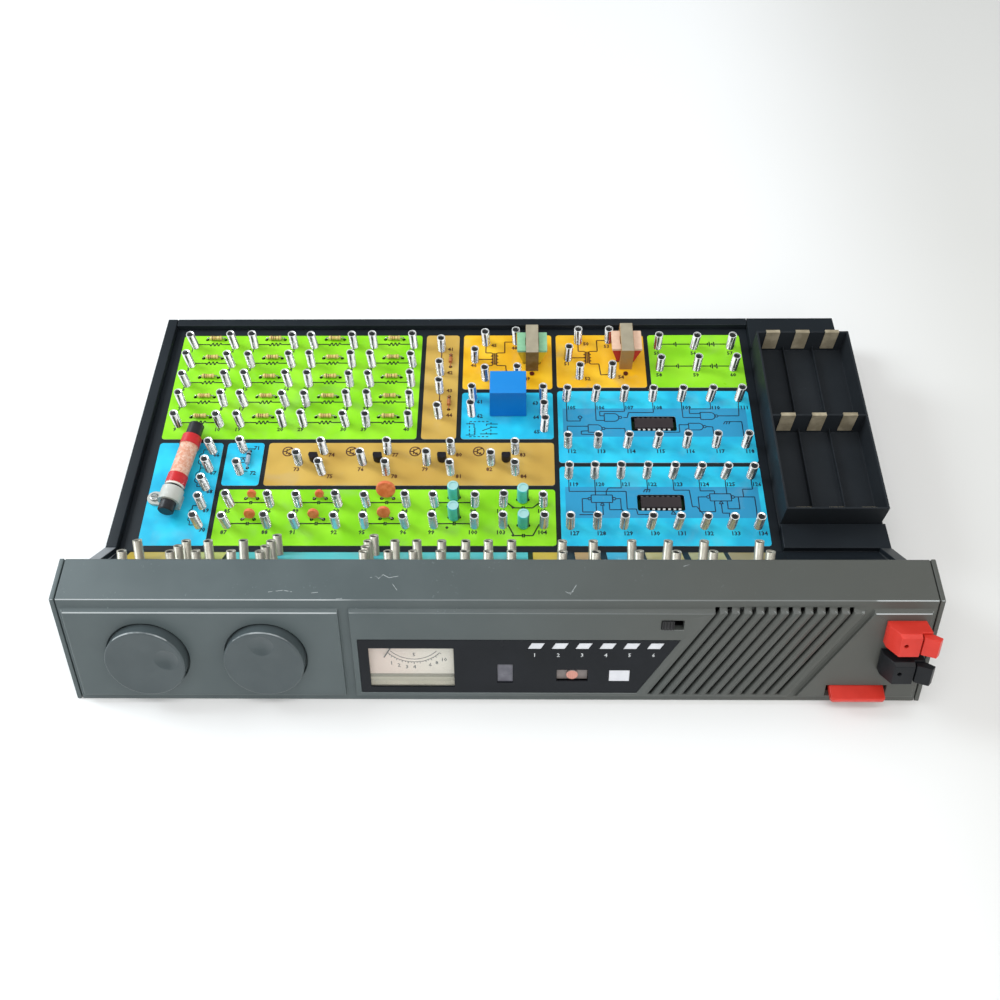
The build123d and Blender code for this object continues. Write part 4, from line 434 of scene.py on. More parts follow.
# %% The strip of cards on the slope
card_mixed = Finish("card_mixed")
strip = tint(176, 170, 104)
spans = [
    (-173, -148.5, (196, 168, 66)), (-148.5, -124, (184, 184, 106)), (-124, 15.5, (84, 186, 200)),
    (16, 30, (206, 174, 78)), (35, 50, (190, 150, 92)), (50.5, 62, (70, 172, 204)),
    (68.5, 87, (186, 172, 110)), (89, 106, (178, 170, 112)), (107, 128, (160, 142, 92)),
]
for start, end, colour in spans:
    strip = card_mixed.mix(card_mixed.x.between(start, end), strip, tint(*colour))
card_film(card_mixed, strip, 0.8)

# %% [markdown]
# ## Plated springs
# The terminals are close-wound springs of plated wire. A real helix on every one of them would cost millions
# of faces. The winding is a relief instead: the distance along a spring's axis, wrapped every wire's width,
# gives a row of round ridges. The springs on the slope lean with it, so their axis is measured along the
# slope's normal.

# %% The plated recipe
SPRING_WIRE = 0.56


def plated(name, lean=0.0, bright=tint(250, 252, 250), shine=1.0, rough=0.14):
    """Bright tin plate over round windings, with painted shade in the grooves between them."""
    finish = Finish(name)
    along = finish.y * sin(lean) + finish.z * cos(lean)
    turn = (along / SPRING_WIRE) % 1.0
    ridge = 1 - turn
    smear = finish.noise(9, 2)
    plate = finish.mix(smear.soft(0.4, 0.75), bright, tuple(part * 0.8 for part in bright))
    lip = finish.normal("Y") * sin(lean) + finish.normal("Z") * cos(lean) > 0.8
    # The grooves between turns are painted a darker grey, as painted shade.
    finish.set(**{
        "Base Color": finish.mix(ridge.soft(0.0, 0.2), tint(120, 124, 122), plate),
        "Metallic": shine - lip * 0.8 * shine,
        "Roughness": rough + smear * 0.08,
    })
    return finish.bump(ridge * (1 - lip), 0.4)


terminal_metal = plated("terminal_metal")
# The springs on the slope lie in the console's shadow: their copy of the plate is duller, and its darker colour is
# painted shade.
slope_terminal_metal = plated("slope_terminal_metal", SLOPE, tint(186, 182, 168), 0.6, 0.34)

# %% [markdown]
# Contact strips, shafts, screws and the speaker's frame are plain metal: smears a few millimetres across,
# with much finer scuffs in them. The battery contacts have dulled, so only part of their shine is left.

# %% The plain metal recipe
def metal(name, colour, dull, rough):
    """Plain sheet or turned metal with smears and fine scuffs."""
    finish = Finish(name)
    smear = finish.noise(6, 3)
    fine = finish.noise(0.5, 1)
    finish.set(**{
        "Base Color": finish.mix(smear.soft(0.35, 0.7), dull, colour),
        "Metallic": 1.0,
        "Roughness": rough + (smear - 0.5) * 0.2 + (fine - 0.5) * 0.1,
    })
    return finish.bump(fine, 0.004)


contact_metal = metal("contact_metal", tint(206, 194, 166), tint(170, 158, 132), 0.42)
contact_metal.set(Metallic=0.45)
shaft_metal = metal("shaft_metal", tint(196, 192, 180), tint(150, 146, 136), 0.3)
screw_steel = metal("screw_steel", tint(204, 206, 202), tint(150, 152, 150), 0.25)
speaker_steel = metal("speaker_steel", tint(150, 152, 150), tint(110, 112, 112), 0.45)

# %% [markdown]
# ## Small components
# A resistor's coloured bands follow its own length, but the node holds twenty resistors. They stand on an
# even grid, so the remainder of X over the grid's pitch is the place along one resistor, and the whole number
# of pitches says which resistor it is. White noise on that number picks each band's colour.

# %% Resistors
RESISTOR_X, RESISTOR_Y, RESISTOR_PITCH, RESISTOR_ROW = -152.85, 41.65, 32.2, 13.1
RESISTOR_END, BAND_HALF, VALUE_BANDS, LAST_BAND = 3.22, 0.2, (-1.8, -0.85, 0.1), 1.9
ROW_DRAW, BAND_DRAW = 7.3, 31.7
band_tones = [tint(78, 42, 22), tint(128, 46, 28), tint(150, 84, 32), tint(38, 32, 28), tint(164, 132, 40)]
picks = [(number / len(band_tones), tone) for number, tone in enumerate(band_tones)]

resistor_tan = Finish("resistor_tan")
columns_in = (resistor_tan.x - (RESISTOR_X - RESISTOR_PITCH / 2)) / RESISTOR_PITCH
rows_in = (resistor_tan.y - (RESISTOR_Y - RESISTOR_ROW / 2)) / RESISTOR_ROW
along = (columns_in % 1.0 - 0.5) * RESISTOR_PITCH
which = resistor_tan.maths("FLOOR", columns_in) + resistor_tan.maths("FLOOR", rows_in) * ROW_DRAW
lacquer = resistor_tan.mix(resistor_tan.noise(2, 2), tint(200, 178, 96), tint(222, 204, 124))
for number, middle in enumerate(VALUE_BANDS):
    drawn_number = {"W": which + BAND_DRAW * number}
    dice = resistor_tan.node("ShaderNodeTexWhiteNoise", {"noise_dimensions": "1D"}, drawn_number)
    picked = resistor_tan.node("ShaderNodeValToRGB", {"stops": picks, "steps": "CONSTANT"}, {"Fac": dice})
    lacquer = resistor_tan.mix(along.between(middle - BAND_HALF, middle + BAND_HALF), lacquer, picked)
last = along.between(LAST_BAND - BAND_HALF, LAST_BAND + BAND_HALF)
lacquer = resistor_tan.mix(last, lacquer, tint(150, 108, 40))
lead = abs(along) > RESISTOR_END
resistor_tan.set(**{
    "Base Color": resistor_tan.mix(lead, lacquer, tint(190, 190, 184)),
    "Metallic": lead,
    "Roughness": 0.32 - lead * 0.08,
})
resistor_tan.bump(resistor_tan.noise(0.6, 1), 0.01)

# %% [markdown]
# The other components are coloured in the same spirit: a mask from X, Y or Z tells glass from band, sleeve
# from lid, and tape from flange. Only their known places on the board are needed.

# %% Diodes
SILICON_SPAN, GERMANIUM_SPAN = (-30, -20), (-130, -120)
DIODE_RINGS = [
    (SILICON_SPAN, (80.2, 80.9), tint(24, 20, 18)),
    (SILICON_SPAN, (51.9, 52.6), tint(24, 20, 18)),
    (GERMANIUM_SPAN, (16.6, 17.6), tint(30, 28, 40)),
]
diode_body = Finish("diode_body")
glass = diode_body.mix(diode_body.noise(1.5, 2), tint(150, 84, 44), tint(196, 128, 76))
glass = diode_body.mix(diode_body.x.between(*GERMANIUM_SPAN), glass, tint(150, 170, 186))
for across, deep, tone in DIODE_RINGS:
    painted_ring = diode_body.x.between(*across) & diode_body.y.between(*deep)
    glass = diode_body.mix(painted_ring, glass, tone)
diode_body.set(**{"Base Color": glass, "Roughness": 0.16 + diode_body.noise(2, 1) * 0.1})

# %% Disc and can capacitors
DISC_FOOT = CARD_TOP + 1.35
disc_orange = Finish("disc_orange")
dipped = disc_orange.noise(2.6, 3)
legs = disc_orange.z < DISC_FOOT
coat = disc_orange.mix(dipped.soft(0.35, 0.7), tint(218, 106, 58), tint(236, 132, 82))
disc_orange.set(**{
    "Base Color": disc_orange.mix(legs, coat, tint(170, 166, 156)),
    "Metallic": legs,
    "Roughness": 0.34 + dipped * 0.14,
})
disc_orange.bump(dipped, 0.12)

CANS = [(-20.9, -7.25), (-20.5, -18.45), (12.5, -8.45), (12.7, -22.95)]
LID_Z = 30.5
can_cyan = Finish("can_cyan")
lid = (can_cyan.normal("Z") > 0.9) & (can_cyan.z > LID_Z)
sleeve = can_cyan.mix(can_cyan.noise(3, 2), tint(62, 186, 190), tint(104, 212, 210))
stripe = 0.0
for x, y in CANS:
    stripe = (can_cyan.x.between(x + 1.9, x + 2.9) & can_cyan.y.between(y - 2.2, y + 1.1)) | stripe
sleeve = can_cyan.mix(stripe * 0.85, sleeve, tint(24, 60, 66))
can_cyan.set(**{
    "Base Color": can_cyan.mix(lid, sleeve, tint(168, 214, 212)),
    "Metallic": lid * 0.1,
    "Roughness": 0.28 + can_cyan.noise(2, 1) * 0.12,
})
can_cyan.bump(can_cyan.noise(1.5, 2), 0.05)

# %% Relay and transistors
relay_blue = moulded("relay_blue", tint(8, 116, 202), tint(2, 106, 190), 0.36, 0.006, 0.4, 14, dust=0.25)
# Painted light: faces turned up are a lighter blue, as if lit from above.
lid_tone = relay_blue.mix(relay_blue.noise(14, 3), tint(14, 126, 206), tint(24, 136, 214))
upward = relay_blue.normal("Z").soft(0.5, 0.9)
relay_blue.set(**{"Base Color": relay_blue.mix(upward, relay_blue.shade, lid_tone)})
transistor_black = moulded(
    "transistor_black", tint(32, 28, 34), tint(22, 20, 24), 0.5, 0.01, 0.4, 4, dust=0.3, shine=0.25
)

# %% [markdown]
# A chip's legs are tinned and its body is moulded epoxy, on one solid. Legs are whatever lies beyond the body's
# side. The front row is bright, and the row behind, which the body shades, is painted dark grey as shade.

# %% Chips
CHIP_A, CHIP_B = 37.35, -10.15
BODY_HALF, FRONT_LEGS, BEFORE_A = 3.22, 3.15, 30.0
chip_black = Finish("chip_black")
pins = (abs(chip_black.y - CHIP_A) > BODY_HALF) & (abs(chip_black.y - CHIP_B) > BODY_HALF)
front_row = chip_black.y.between(BEFORE_A, CHIP_A - FRONT_LEGS) | (chip_black.y < CHIP_B - FRONT_LEGS)
# The back row of legs is painted dark grey, as shade cast by the body.
tinned = chip_black.mix(front_row, tint(84, 84, 84), tint(240, 241, 238))
epoxy = chip_black.mix(chip_black.noise(5, 2), tint(36, 29, 32), tint(52, 43, 45))
chip_black.set(**{
    "Base Color": chip_black.mix(pins, epoxy, tinned),
    "Metallic": pins * 0.35,
    "Roughness": 0.55 - pins * 0.15,
})
chip_black.bump(chip_black.noise(0.4, 1), 0.008)

# %% [markdown]
# A transformer's core is a stack of thin steel sheets. Its cut edges show as fine lines that run the way the
# sheets lie, and old cores are toned by varnish and rust towards the foot. The bobbin has card flanges, with
# tape round the wire between them: one pale green over yellow, the other cream over red.

# %% Transformer cores
BETWEEN_CORES, STEEL_SHEET = 40.0, 0.5
core_steel = Finish("core_steel")
seam = 1 - abs(((core_steel.x / STEEL_SHEET) % 1.0) * 2 - 1)
varnish = core_steel.noise(4.5, 3)
top_face = core_steel.normal("Z") > 0.7
rusty = core_steel.mix(core_steel.x > BETWEEN_CORES, tint(104, 78, 34), tint(168, 124, 66))
side_tone = core_steel.mix(varnish.soft(0.3, 0.75) * 0.5, rusty, tint(150, 128, 92))
top_tone = core_steel.mix(varnish, tint(150, 141, 120), tint(180, 170, 146))
core_steel.set(**{
    "Base Color": core_steel.mix(top_face, side_tone, top_tone),
    "Metallic": 0.1,
    "Roughness": 0.42 + varnish * 0.2,
})
core_steel.bump(seam.soft(0.0, 0.25), 0.03)

# %% Transformer bobbins
FLANGE_FOOT = 31.15
bobbin_wrap = Finish("bobbin_wrap")
flange = bobbin_wrap.z > FLANGE_FOOT
paper = bobbin_wrap.noise(2.2, 4)
left_one = bobbin_wrap.x < BETWEEN_CORES
green_card = bobbin_wrap.mix(paper, tint(116, 176, 134), tint(152, 202, 164))
cream_card = bobbin_wrap.mix(paper, tint(212, 172, 146), tint(234, 202, 176))
wrinkle = bobbin_wrap.noise(1.2, 2, (1, 1, 2.5))
yellow_tape = bobbin_wrap.mix(wrinkle, tint(214, 176, 26), tint(238, 206, 50))
red_tape = bobbin_wrap.mix(wrinkle, tint(168, 32, 30), tint(204, 52, 48))
bobbin_wrap.set(**{
    "Base Color": bobbin_wrap.mix(
        flange,
        bobbin_wrap.mix(left_one, red_tape, yellow_tape),
        bobbin_wrap.mix(left_one, cream_card, green_card),
    ),
    "Roughness": 0.72 - wrinkle * 0.2 + flange * 0.1,
})
bobbin_wrap.bump(paper * flange + wrinkle * (1 - flange), 0.12)

# %% [markdown]
# ## The aerial
# A black ferrite rod carries a coil of fine enamelled wire, held by a band of red tape at each end. The wire
# lies across the rod, so its relief runs along the rod's axis, which is turned a few degrees on the card.

# %% Rod and coil
ROD_X, ROD_Y, ROD_TURN = -154.7, 6.45, radians(82.7)
PAPER_END, FRONT_TAPE, BACK_TAPE, COIL_WIRE = -10.9, -5.4, 12.4, 0.42
ferrite = moulded("ferrite", tint(44, 44, 47), tint(30, 30, 33), 0.4, 0.02, 0.7, 6, dust=0.3)

coil_wire = Finish("coil_wire")
reach = (coil_wire.x - ROD_X) * cos(ROD_TURN) + (coil_wire.y - ROD_Y) * sin(ROD_TURN)
tape = (reach < FRONT_TAPE) | (reach > BACK_TAPE)
turn = (reach / COIL_WIRE) % 1.0
enamel = coil_wire.noise(1.6, 4, (1, 1, 1), 0.8)
winding = coil_wire.mix(enamel.soft(0.36, 0.66), tint(224, 156, 126), tint(240, 202, 180))
band = coil_wire.mix(coil_wire.noise(2, 2), tint(188, 28, 34), tint(208, 42, 46))
band = coil_wire.mix(reach < PAPER_END, band, tint(238, 234, 224))
coil_wire.set(**{
    "Base Color": coil_wire.mix(tape, winding, band),
    "Roughness": 0.4 - tape * 0.08 + enamel * 0.12,
})
coil_wire.bump((1 - abs(turn * 2 - 1) ** 2) * (1 - tape) + enamel * 0.4, 0.1)

clip_grey = moulded("clip_grey", tint(196, 197, 190), tint(178, 180, 173), 0.42, 0.006, 0.4, 9, dust=0.5)

# %% [markdown]
# ## Window, meter and lamps
# The window is a thin black panel with a polished face. Its openings look on to the meter's cream scale, the
# lamp lenses and a digit display. The cover over the meter is clear: it mostly lets light through and keeps a
# shine.

# %% The window and the meter
SCALE_LEFT, SCALE_RIGHT, SHADOW_TOP, SHADOW_FOOT = -54, -22, 10.0, 8.2
window_black = moulded(
    "window_black", tint(25, 28, 33), tint(20, 23, 27), 0.24, 0.002, 3.0, 20, dust=0.5, shine=0.2
)
meter_white = moulded("meter_white", tint(222, 216, 196), tint(206, 200, 178), 0.45, 0.004, 0.4, 9)
scale_print = Finish("scale_print")
aged = scale_print.noise(9, 3)
blush = scale_print.x.soft(SCALE_RIGHT, SCALE_LEFT) * 0.6 + aged * 0.2
scale_tone = scale_print.mix(blush, tint(232, 228, 214), tint(226, 196, 184))
scale_tone = scale_print.mix(scale_print.z < SHADOW_TOP, scale_tone, tint(122, 116, 92))
scale_tone = scale_print.mix(scale_print.z < SHADOW_FOOT, scale_tone, tint(190, 184, 162))
scale_print.set(**{
    "Base Color": scale_tone,
    "Roughness": 0.5 + aged * 0.1,
})
scale_print.bump(aged, 0.01)
needle_black = moulded("needle_black", tint(60, 36, 32), tint(44, 26, 24), 0.4, 0.002)
clear_cover = Finish("clear_cover")
haze = clear_cover.noise(6, 3)
clear_cover.set(**{
    "Base Color": clear_cover.mix(haze, tint(236, 240, 236), tint(216, 220, 214)),
    "Roughness": 0.06 + haze * 0.06,
    "Alpha": 0.1 + haze * 0.06,
})

# %% Lamps, display, and what lies behind
lens_white = moulded("lens_white", tint(222, 224, 228), tint(210, 212, 217), 0.3, 0.004, 0.4, 4)
display_grey = moulded("display_grey", tint(110, 110, 118), tint(88, 88, 96), 0.3, 0.006, 0.4, 4)
board_green = moulded("board_green", tint(40, 88, 52), tint(30, 70, 42), 0.4, 0.01, 0.5, 12)
component_brown = moulded("component_brown", tint(122, 84, 52), tint(96, 64, 40), 0.5, 0.01)
cone_paper = moulded("cone_paper", tint(44, 43, 42), tint(30, 30, 30), 0.85, 0.05, 0.7, 6)
magnet = moulded("magnet", tint(62, 62, 66), tint(44, 44, 48), 0.5, 0.02)
switch_black = moulded("switch_black", tint(44, 44, 45), tint(30, 30, 31), 0.4, 0.004, 0.3, 5)

# %% [markdown]
# The light sensor is a round ceramic tile with fine tracks, in a metal ring. It lies on the leaning front, so
# a circle drawn on it is squeezed in Z, and Z is stretched again before the distance is taken.

# %% The light sensor
SENSOR_X, SENSOR_Z, SENSOR_R, TRACK_PITCH = 33.9, 14.0, 2.65, 1 / 1.1
sensor_brown = Finish("sensor_brown")
sensor_rise = (sensor_brown.z - SENSOR_Z) / -DOWN_FACE.z
from_middle = sensor_brown.maths("SQRT", (sensor_brown.x - SENSOR_X) ** 2.0 + sensor_rise ** 2.0)
track = ((sensor_brown.x / TRACK_PITCH) % 1.0).soft(0.3, 0.6)
sensor_brown.set(**{
    "Base Color": sensor_brown.mix(
        from_middle < SENSOR_R,
        sensor_brown.mix(sensor_brown.noise(3, 2), tint(112, 106, 102), tint(138, 128, 124)),
        sensor_brown.mix(track * 0.4, tint(208, 150, 134), tint(180, 108, 92)),
    ),
    "Roughness": 0.3 + sensor_brown.noise(2, 1) * 0.1,
})

# %% [markdown]
# ## Terminals for wires, and the key
# The two push terminals and the code key are moulded in a strong red and a black, glossier than the console
# because fingers rub them. A slow drift in the red keeps it from looking like paint.

# %% Red and black mouldings
clip_red = moulded("clip_red", tint(214, 58, 46), tint(198, 46, 34), 0.34, 0.006, 0.4, 12, dust=0.12)
clip_black = moulded(
    "clip_black", tint(29, 31, 34), tint(22, 24, 27), 0.36, 0.006, 0.4, 10, dust=0.3, shine=0.25
)

# %% [markdown]
# ## Giving every solid its finish
# The record says which slot each solid belongs to. A table from slot to finish is enough to dress all of
# them, and a missing finish would stop the script here rather than leave a part grey.

# %% Dress the CAD nodes
finishes = {
    finish.name: finish for finish in list(globals().values()) if isinstance(finish, Finish)
}
slot_of = {piece["node"]: piece["material_slot"] for piece in frame["record"]["subparts"]}


def dress(piece, finish):
    """One finish all over a piece."""
    piece.data.materials.clear()
    piece.data.materials.append(finish.material)


for node, slot in slot_of.items():
    dress(nodes[node], finishes[slot])
dress(nodes["console_terminals"], slope_terminal_metal)
print(len(slot_of), "solids dressed in", len(finishes), "finishes")

# %% [markdown]
# ## Softening moulded edges
# CAD edges are perfectly sharp, and a sharp edge catches no light. A moulded edge is rounded by a few tenths
# of a millimetre and draws a thin bright line, which is most of what makes a console look like plastic. The
# edges could be rounded by a shader, but real geometry also holds in other programs. So each main moulding is
# copied, its loose triangles are merged into flat faces, its sharp edges are marked with a bevel weight, and
# a Bevel modifier is applied. The copy stands in for its node.

# %% Selecting and merging
def only(piece):
    """Select one piece and nothing else."""
    bpy.ops.object.select_all(action="DESELECT")
    piece.select_set(True)
    bpy.context.view_layer.objects.active = piece


def merged_copy(node):
    """A copy of a CAD solid whose triangles share their corners, all selected in edit mode."""
    piece = nodes[node].copy()
    piece.data = nodes[node].data.copy()
    piece.name = piece.data.name = node + "_moulding"
    for key in list(piece.keys()):
        del piece[key]
    bpy.context.scene.collection.objects.link(piece)
    only(piece)
    bpy.ops.object.mode_set(mode="EDIT")
    bpy.ops.mesh.select_mode(type="FACE")
    bpy.ops.mesh.select_all(action="SELECT")
    bpy.ops.mesh.remove_doubles(threshold=0.002 * MM)
    return piece


def select_right_of(piece, x):
    """In edit mode, select only the faces that lie to the right of an X in mm."""
    bpy.ops.object.mode_set(mode="OBJECT")
    for face in piece.data.polygons:
        face.select = face.center.x > x * MM
    bpy.ops.object.mode_set(mode="EDIT")


# %% [markdown]
# The console needs more care than the others. The walls between the speaker's slots are too thin to round, so
# the edges among them get no weight. Its triangles are merged only round the clips and the key, where they
# would show as faint creases, and hardened normals keep its large faces flat beside their rounded edges.

# %% Places on the console
GRILLE_LEFT, GRILLE_RIGHT, GRILLE_TOP, GRILLE_FOOT, GRILLE_DEPTH = 90.5, 155, 2.5, 52, 6
SLANT_START, SLOT_SLANT = 5.8, 0.5756
CLIP_PANEL = 162


def on_grille(point):
    """True for a point in mm among the speaker slots, which slant to the left as they go down."""
    from_top = point - FACE_TOP
    down, out = from_top.dot(DOWN_FACE), from_top.dot(OUT_OF_FACE)
    top = point.x + max(0.0, down - SLANT_START) * SLOT_SLANT
    return out > -GRILLE_DEPTH and GRILLE_TOP < down < GRILLE_FOOT and GRILLE_LEFT < top < GRILLE_RIGHT


# %% The softening helper
FLAT_ANGLE, SHARP_ANGLE = radians(0.6), radians(32)


def mark_sharp(mesh, spared):
    """A bevel weight of 1 on the selected edges, apart from those whose middle is spared."""
    weights = mesh.attributes.new("bevel_weight_edge", "FLOAT", "EDGE")
    for edge, weight in zip(mesh.edges, weights.data):
        start, end = (mesh.vertices[corner].co for corner in edge.vertices)
        weight.value = float(edge.select and not spared((start + end) / 2 / MM))


def soften(node, width):
    """A copy of a CAD solid with rounded edges, which stands in for it."""
    piece, slotted = merged_copy(node), node == "console_shell"
    if slotted:
        select_right_of(piece, CLIP_PANEL)
    bpy.ops.mesh.dissolve_limited(angle_limit=FLAT_ANGLE)
    bpy.ops.mesh.select_mode(type="EDGE")
    bpy.ops.mesh.select_all(action="DESELECT")
    bpy.ops.mesh.edges_select_sharp(sharpness=SHARP_ANGLE)
    bpy.ops.object.mode_set(mode="OBJECT")
    mark_sharp(piece.data, on_grille if slotted else lambda middle: False)
    if piece.data.has_custom_normals:
        bpy.ops.mesh.customdata_custom_splitnormals_clear()
    bpy.ops.object.shade_smooth()
    rounding = piece.modifiers.new("rounding", "BEVEL")
    rounding.width, rounding.segments, rounding.limit_method = width * MM, 2, "WEIGHT"
    rounding.use_clamp_overlap, rounding.harden_normals = False, slotted
    even = piece.modifiers.new("even", "WEIGHTED_NORMAL")
    even.keep_sharp, even.weight = slotted, 80
    for modifier in ("rounding", "even"):
        bpy.ops.object.modifier_apply(modifier=modifier)
    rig.ride(piece, body_of[node])
    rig.replaces(piece, node)
    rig.slot(piece, slot_of[node])
    print(f"{piece.name}: {len(piece.data.polygons)} faces")


# %% Soften the mouldings
softness = {
    "console_shell": 0.35, "end_cap_left": 0.3, "end_cap_right": 0.3, "tuning_knob": 0.35,
    "control_knob": 0.35, "tray_rail_left": 0.4, "tray_rail_back": 0.4, "battery_side_frame": 0.4,
    "battery_box": 0.25, "relay": 0.25, "red_clip": 0.3, "red_lever": 0.25, "black_clip": 0.3,
    "black_lever": 0.25, "code_key": 0.4, "transformer_cores": 0.12, "transformer_bobbins": 0.15,
    "window_panel": 0.12, "select_slider": 0.1, "transistors": 0.2,
}
for node, width in softness.items():
    soften(node, width)
# %% [markdown]
# ## Printing
# Schematic lines and numbers are printed on the cards. As pictures they would blur when seen close. Here the
# lines are curves with a small width, and the numbers are set in Blender's own plain typeface. Both are
# turned into thin meshes that lie a few hundredths of a millimetre above the film.

# %% Inks
def ink(name, colour, faded, rough=0.45):
    """Printing ink, thinner in places."""
    finish = Finish(name)
    thin = finish.noise(2.4, 3).soft(0.4, 0.75)
    tone = finish.mix(thin * 0.5, colour, faded)
    return finish.set(**{"Base Color": tone, "Roughness": rough + thin * 0.15})


ink_dark = ink("ink_dark", tint(10, 22, 12), tint(28, 50, 22))
ink_navy = ink("ink_navy", tint(4, 20, 50), tint(10, 40, 76))
ink_brown = ink("ink_brown", tint(74, 30, 10), tint(104, 52, 20))
ink_white = ink("ink_white", tint(206, 210, 210), tint(176, 180, 182))
ink_meter = ink("ink_meter", tint(24, 20, 28), tint(52, 44, 52))

# %% [markdown]
# A drawing is made flat at the origin, joined into one mesh, and only then moved to its plane: the cards'
# level or the console's front. A stroke is a square bar between two points, pressed nearly flat. Each stroke
# stands alone, because a bent bar gets thin at its corners.

# %% The printing press
STROKE_THICKNESS, DIGIT_SHARE = 0.08, 0.72
FILM_GAP, NUMBER_GAP = 0.02, 0.03


def deck_place(height=FILM_GAP):
    """The plane of the printed cards, raised a little above their film."""
    return Matrix.Translation((0, 0, (CARD_TOP + height) * MM))


def face_at(out):
    """A plane on the console's front, some way out from it: X across, Y up the face from its top edge."""
    turned = Matrix(((1, 0, 0), -DOWN_FACE, OUT_OF_FACE)).transposed().to_4x4()
    return Matrix.Translation((FACE_TOP + OUT_OF_FACE * out) * MM) @ turned


def press(name, shapes, finish, place):
    """Join flat curves and texts into one thin piece on a plane."""
    bpy.ops.object.select_all(action="DESELECT")
    for shape in shapes:
        shape.select_set(True)
    bpy.context.view_layer.objects.active = shapes[0]
    bpy.ops.object.convert(target="MESH")
    bpy.ops.object.transform_apply(location=True, rotation=True, scale=True)
    bpy.ops.object.join()
    piece = bpy.context.active_object
    piece.name = piece.data.name = name
    bpy.ops.object.mode_set(mode="EDIT")
    bpy.ops.mesh.select_all(action="SELECT")
    bpy.ops.mesh.remove_doubles(threshold=0.001 * MM)
    bpy.ops.object.mode_set(mode="OBJECT")
    piece.matrix_world = place
    bpy.ops.object.transform_apply(location=True, rotation=True, scale=True)
    dress(piece, finish)
    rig.ride(piece, "case")
    print(f"{name}: {len(shapes)} shapes, {len(piece.data.polygons)} faces")


def drawn(paths, width):
    """One curve object with straight strokes along each path, in mm."""
    data = bpy.data.curves.new("stroke", "CURVE")
    data.dimensions, data.fill_mode = "3D", "FULL"
    data.bevel_depth, data.bevel_resolution, data.use_fill_caps = width / 2 * MM, 0, True
    for path in paths:
        for ends in zip(path, path[1:]):
            stroke = data.splines.new("POLY")
            stroke.points.add(1)
            for point, (x, y) in zip(stroke.points, ends):
                point.co = (x * MM, y * MM, 0, 1)
    made = bpy.data.objects.new("stroke", data)
    bpy.context.scene.collection.objects.link(made)
    made.scale = (1, 1, STROKE_THICKNESS)
    return made


def typeset(marks, height, bold=0.05):
    """One text object for each (text, x, y), with its strokes made bolder by a share of its height."""
    made = []
    for text, x, y in marks:
        data = bpy.data.curves.new("type", "FONT")
        data.body, data.size, data.resolution_u = str(text), height / DIGIT_SHARE * MM, 1
        data.offset = height * bold * MM
        data.align_x, data.align_y = "CENTER", "CENTER"
        word = bpy.data.objects.new("type", data)
        bpy.context.scene.collection.objects.link(word)
        word.location = (x * MM, y * MM, 0)
        made.append(word)
    return made


# %% Arcs and rings
def arc(x, y, r, start, end, steps=12):
    """Points on an arc. Angles in degrees."""
    turns = [radians(start + (end - start) * step / steps) for step in range(steps + 1)]
    return [(x + r * cos(turn), y + r * sin(turn)) for turn in turns]


def ring(x, y, r):
    """Points all round a circle."""
    return arc(x, y, r, 0, 360, 14)


# %% [markdown]
# Each card has its own front left corner, so a drawing is written in that card's millimetres and moved there.
# The terminals stand on regular grids, and so do their numbers.

# %% Cards and their corners
CARDS = {
    "resistors": (-170.5, 27.75), "silicon": (-38.8, 27.75), "input": (-18.7, 59.75),
    "output": (30.7, 60.75), "batteries": (80.1, 60.75), "relay": (-18.7, 27.75),
    "logic_a": (30.7, 13.25), "logic_b": (30.7, -34.25), "antenna": (-170.5, -34.25),
    "germanium": (-135.9, -0.25), "transistors": (-115.1, -0.25), "capacitors": (-135.9, -34.25),
}
DISC_PITCH, DISC_ROW = 33.1, 11.9
TRANSISTOR_PITCH, TAP_PITCH, CELL_PITCH, CELL_ROW = 31.9, 10.9, 19.4, 14.9


def at(card, x, y):
    """A card's own millimetres, as X and Y of the whole trainer."""
    return CARDS[card][0] + x, CARDS[card][1] + y


def numbers(card, first, places):
    """Numbers in order from first, at places on one card."""
    return [(first + step, *at(card, *place)) for step, place in enumerate(places)]


# %% Numbers on the green cards
NUMBER_HEIGHT = 2.2
green_numbers = []
for column in range(4):
    left = 5.6 + RESISTOR_PITCH * column
    pairs = [(left + side, 58.4 - RESISTOR_ROW * row) for row in range(5) for side in (0, 21.8)]
    green_numbers += numbers("resistors", 1 + 10 * column, pairs)
for column in range(5):
    left = 5.4 + DISC_PITCH * column
    pairs = [(left + side, 19.2 - DISC_ROW * row) for row in range(2) for side in (0, 19.7)]
    green_numbers += numbers("capacitors", 85 + 4 * column, pairs)
cell_places = [(4.4 + CELL_PITCH * n, 23.2 - CELL_ROW * row) for row in range(2) for n in range(3)]
green_numbers += numbers("batteries", 55, cell_places)
press("numbers_green", typeset(green_numbers, NUMBER_HEIGHT), ink_dark, deck_place(NUMBER_GAP))

# %% Numbers on the blue cards
navy_numbers = numbers("relay", 61, [(9.3, 23.6), (9.4, 14.4), (38.0, 22.7), (38.2, 13.6), (38.5, 4.4)])
navy_numbers += numbers("antenna", 66, [(29.6, 52.2 - TAP_PITCH * n) for n in range(5)])
navy_numbers += numbers("germanium", 71, [(14.8, 22.4), (14.8, 7.3)])
for card, first, start, pitch, back, front, count in (
    ("logic_a", 105, 4.6, 14.8, 34.2, 6.8, 7), ("logic_b", 119, 4.4, 12.75, 34.6, 6.8, 8),
):
    navy_numbers += numbers(card, first, [(start + 2.4 + pitch * n, back) for n in range(count)])
    navy_numbers += numbers(card, first + count, [(start + 1.8 + pitch * n, front) for n in range(count)])
press("numbers_blue", typeset(navy_numbers, NUMBER_HEIGHT), ink_navy, deck_place(NUMBER_GAP))

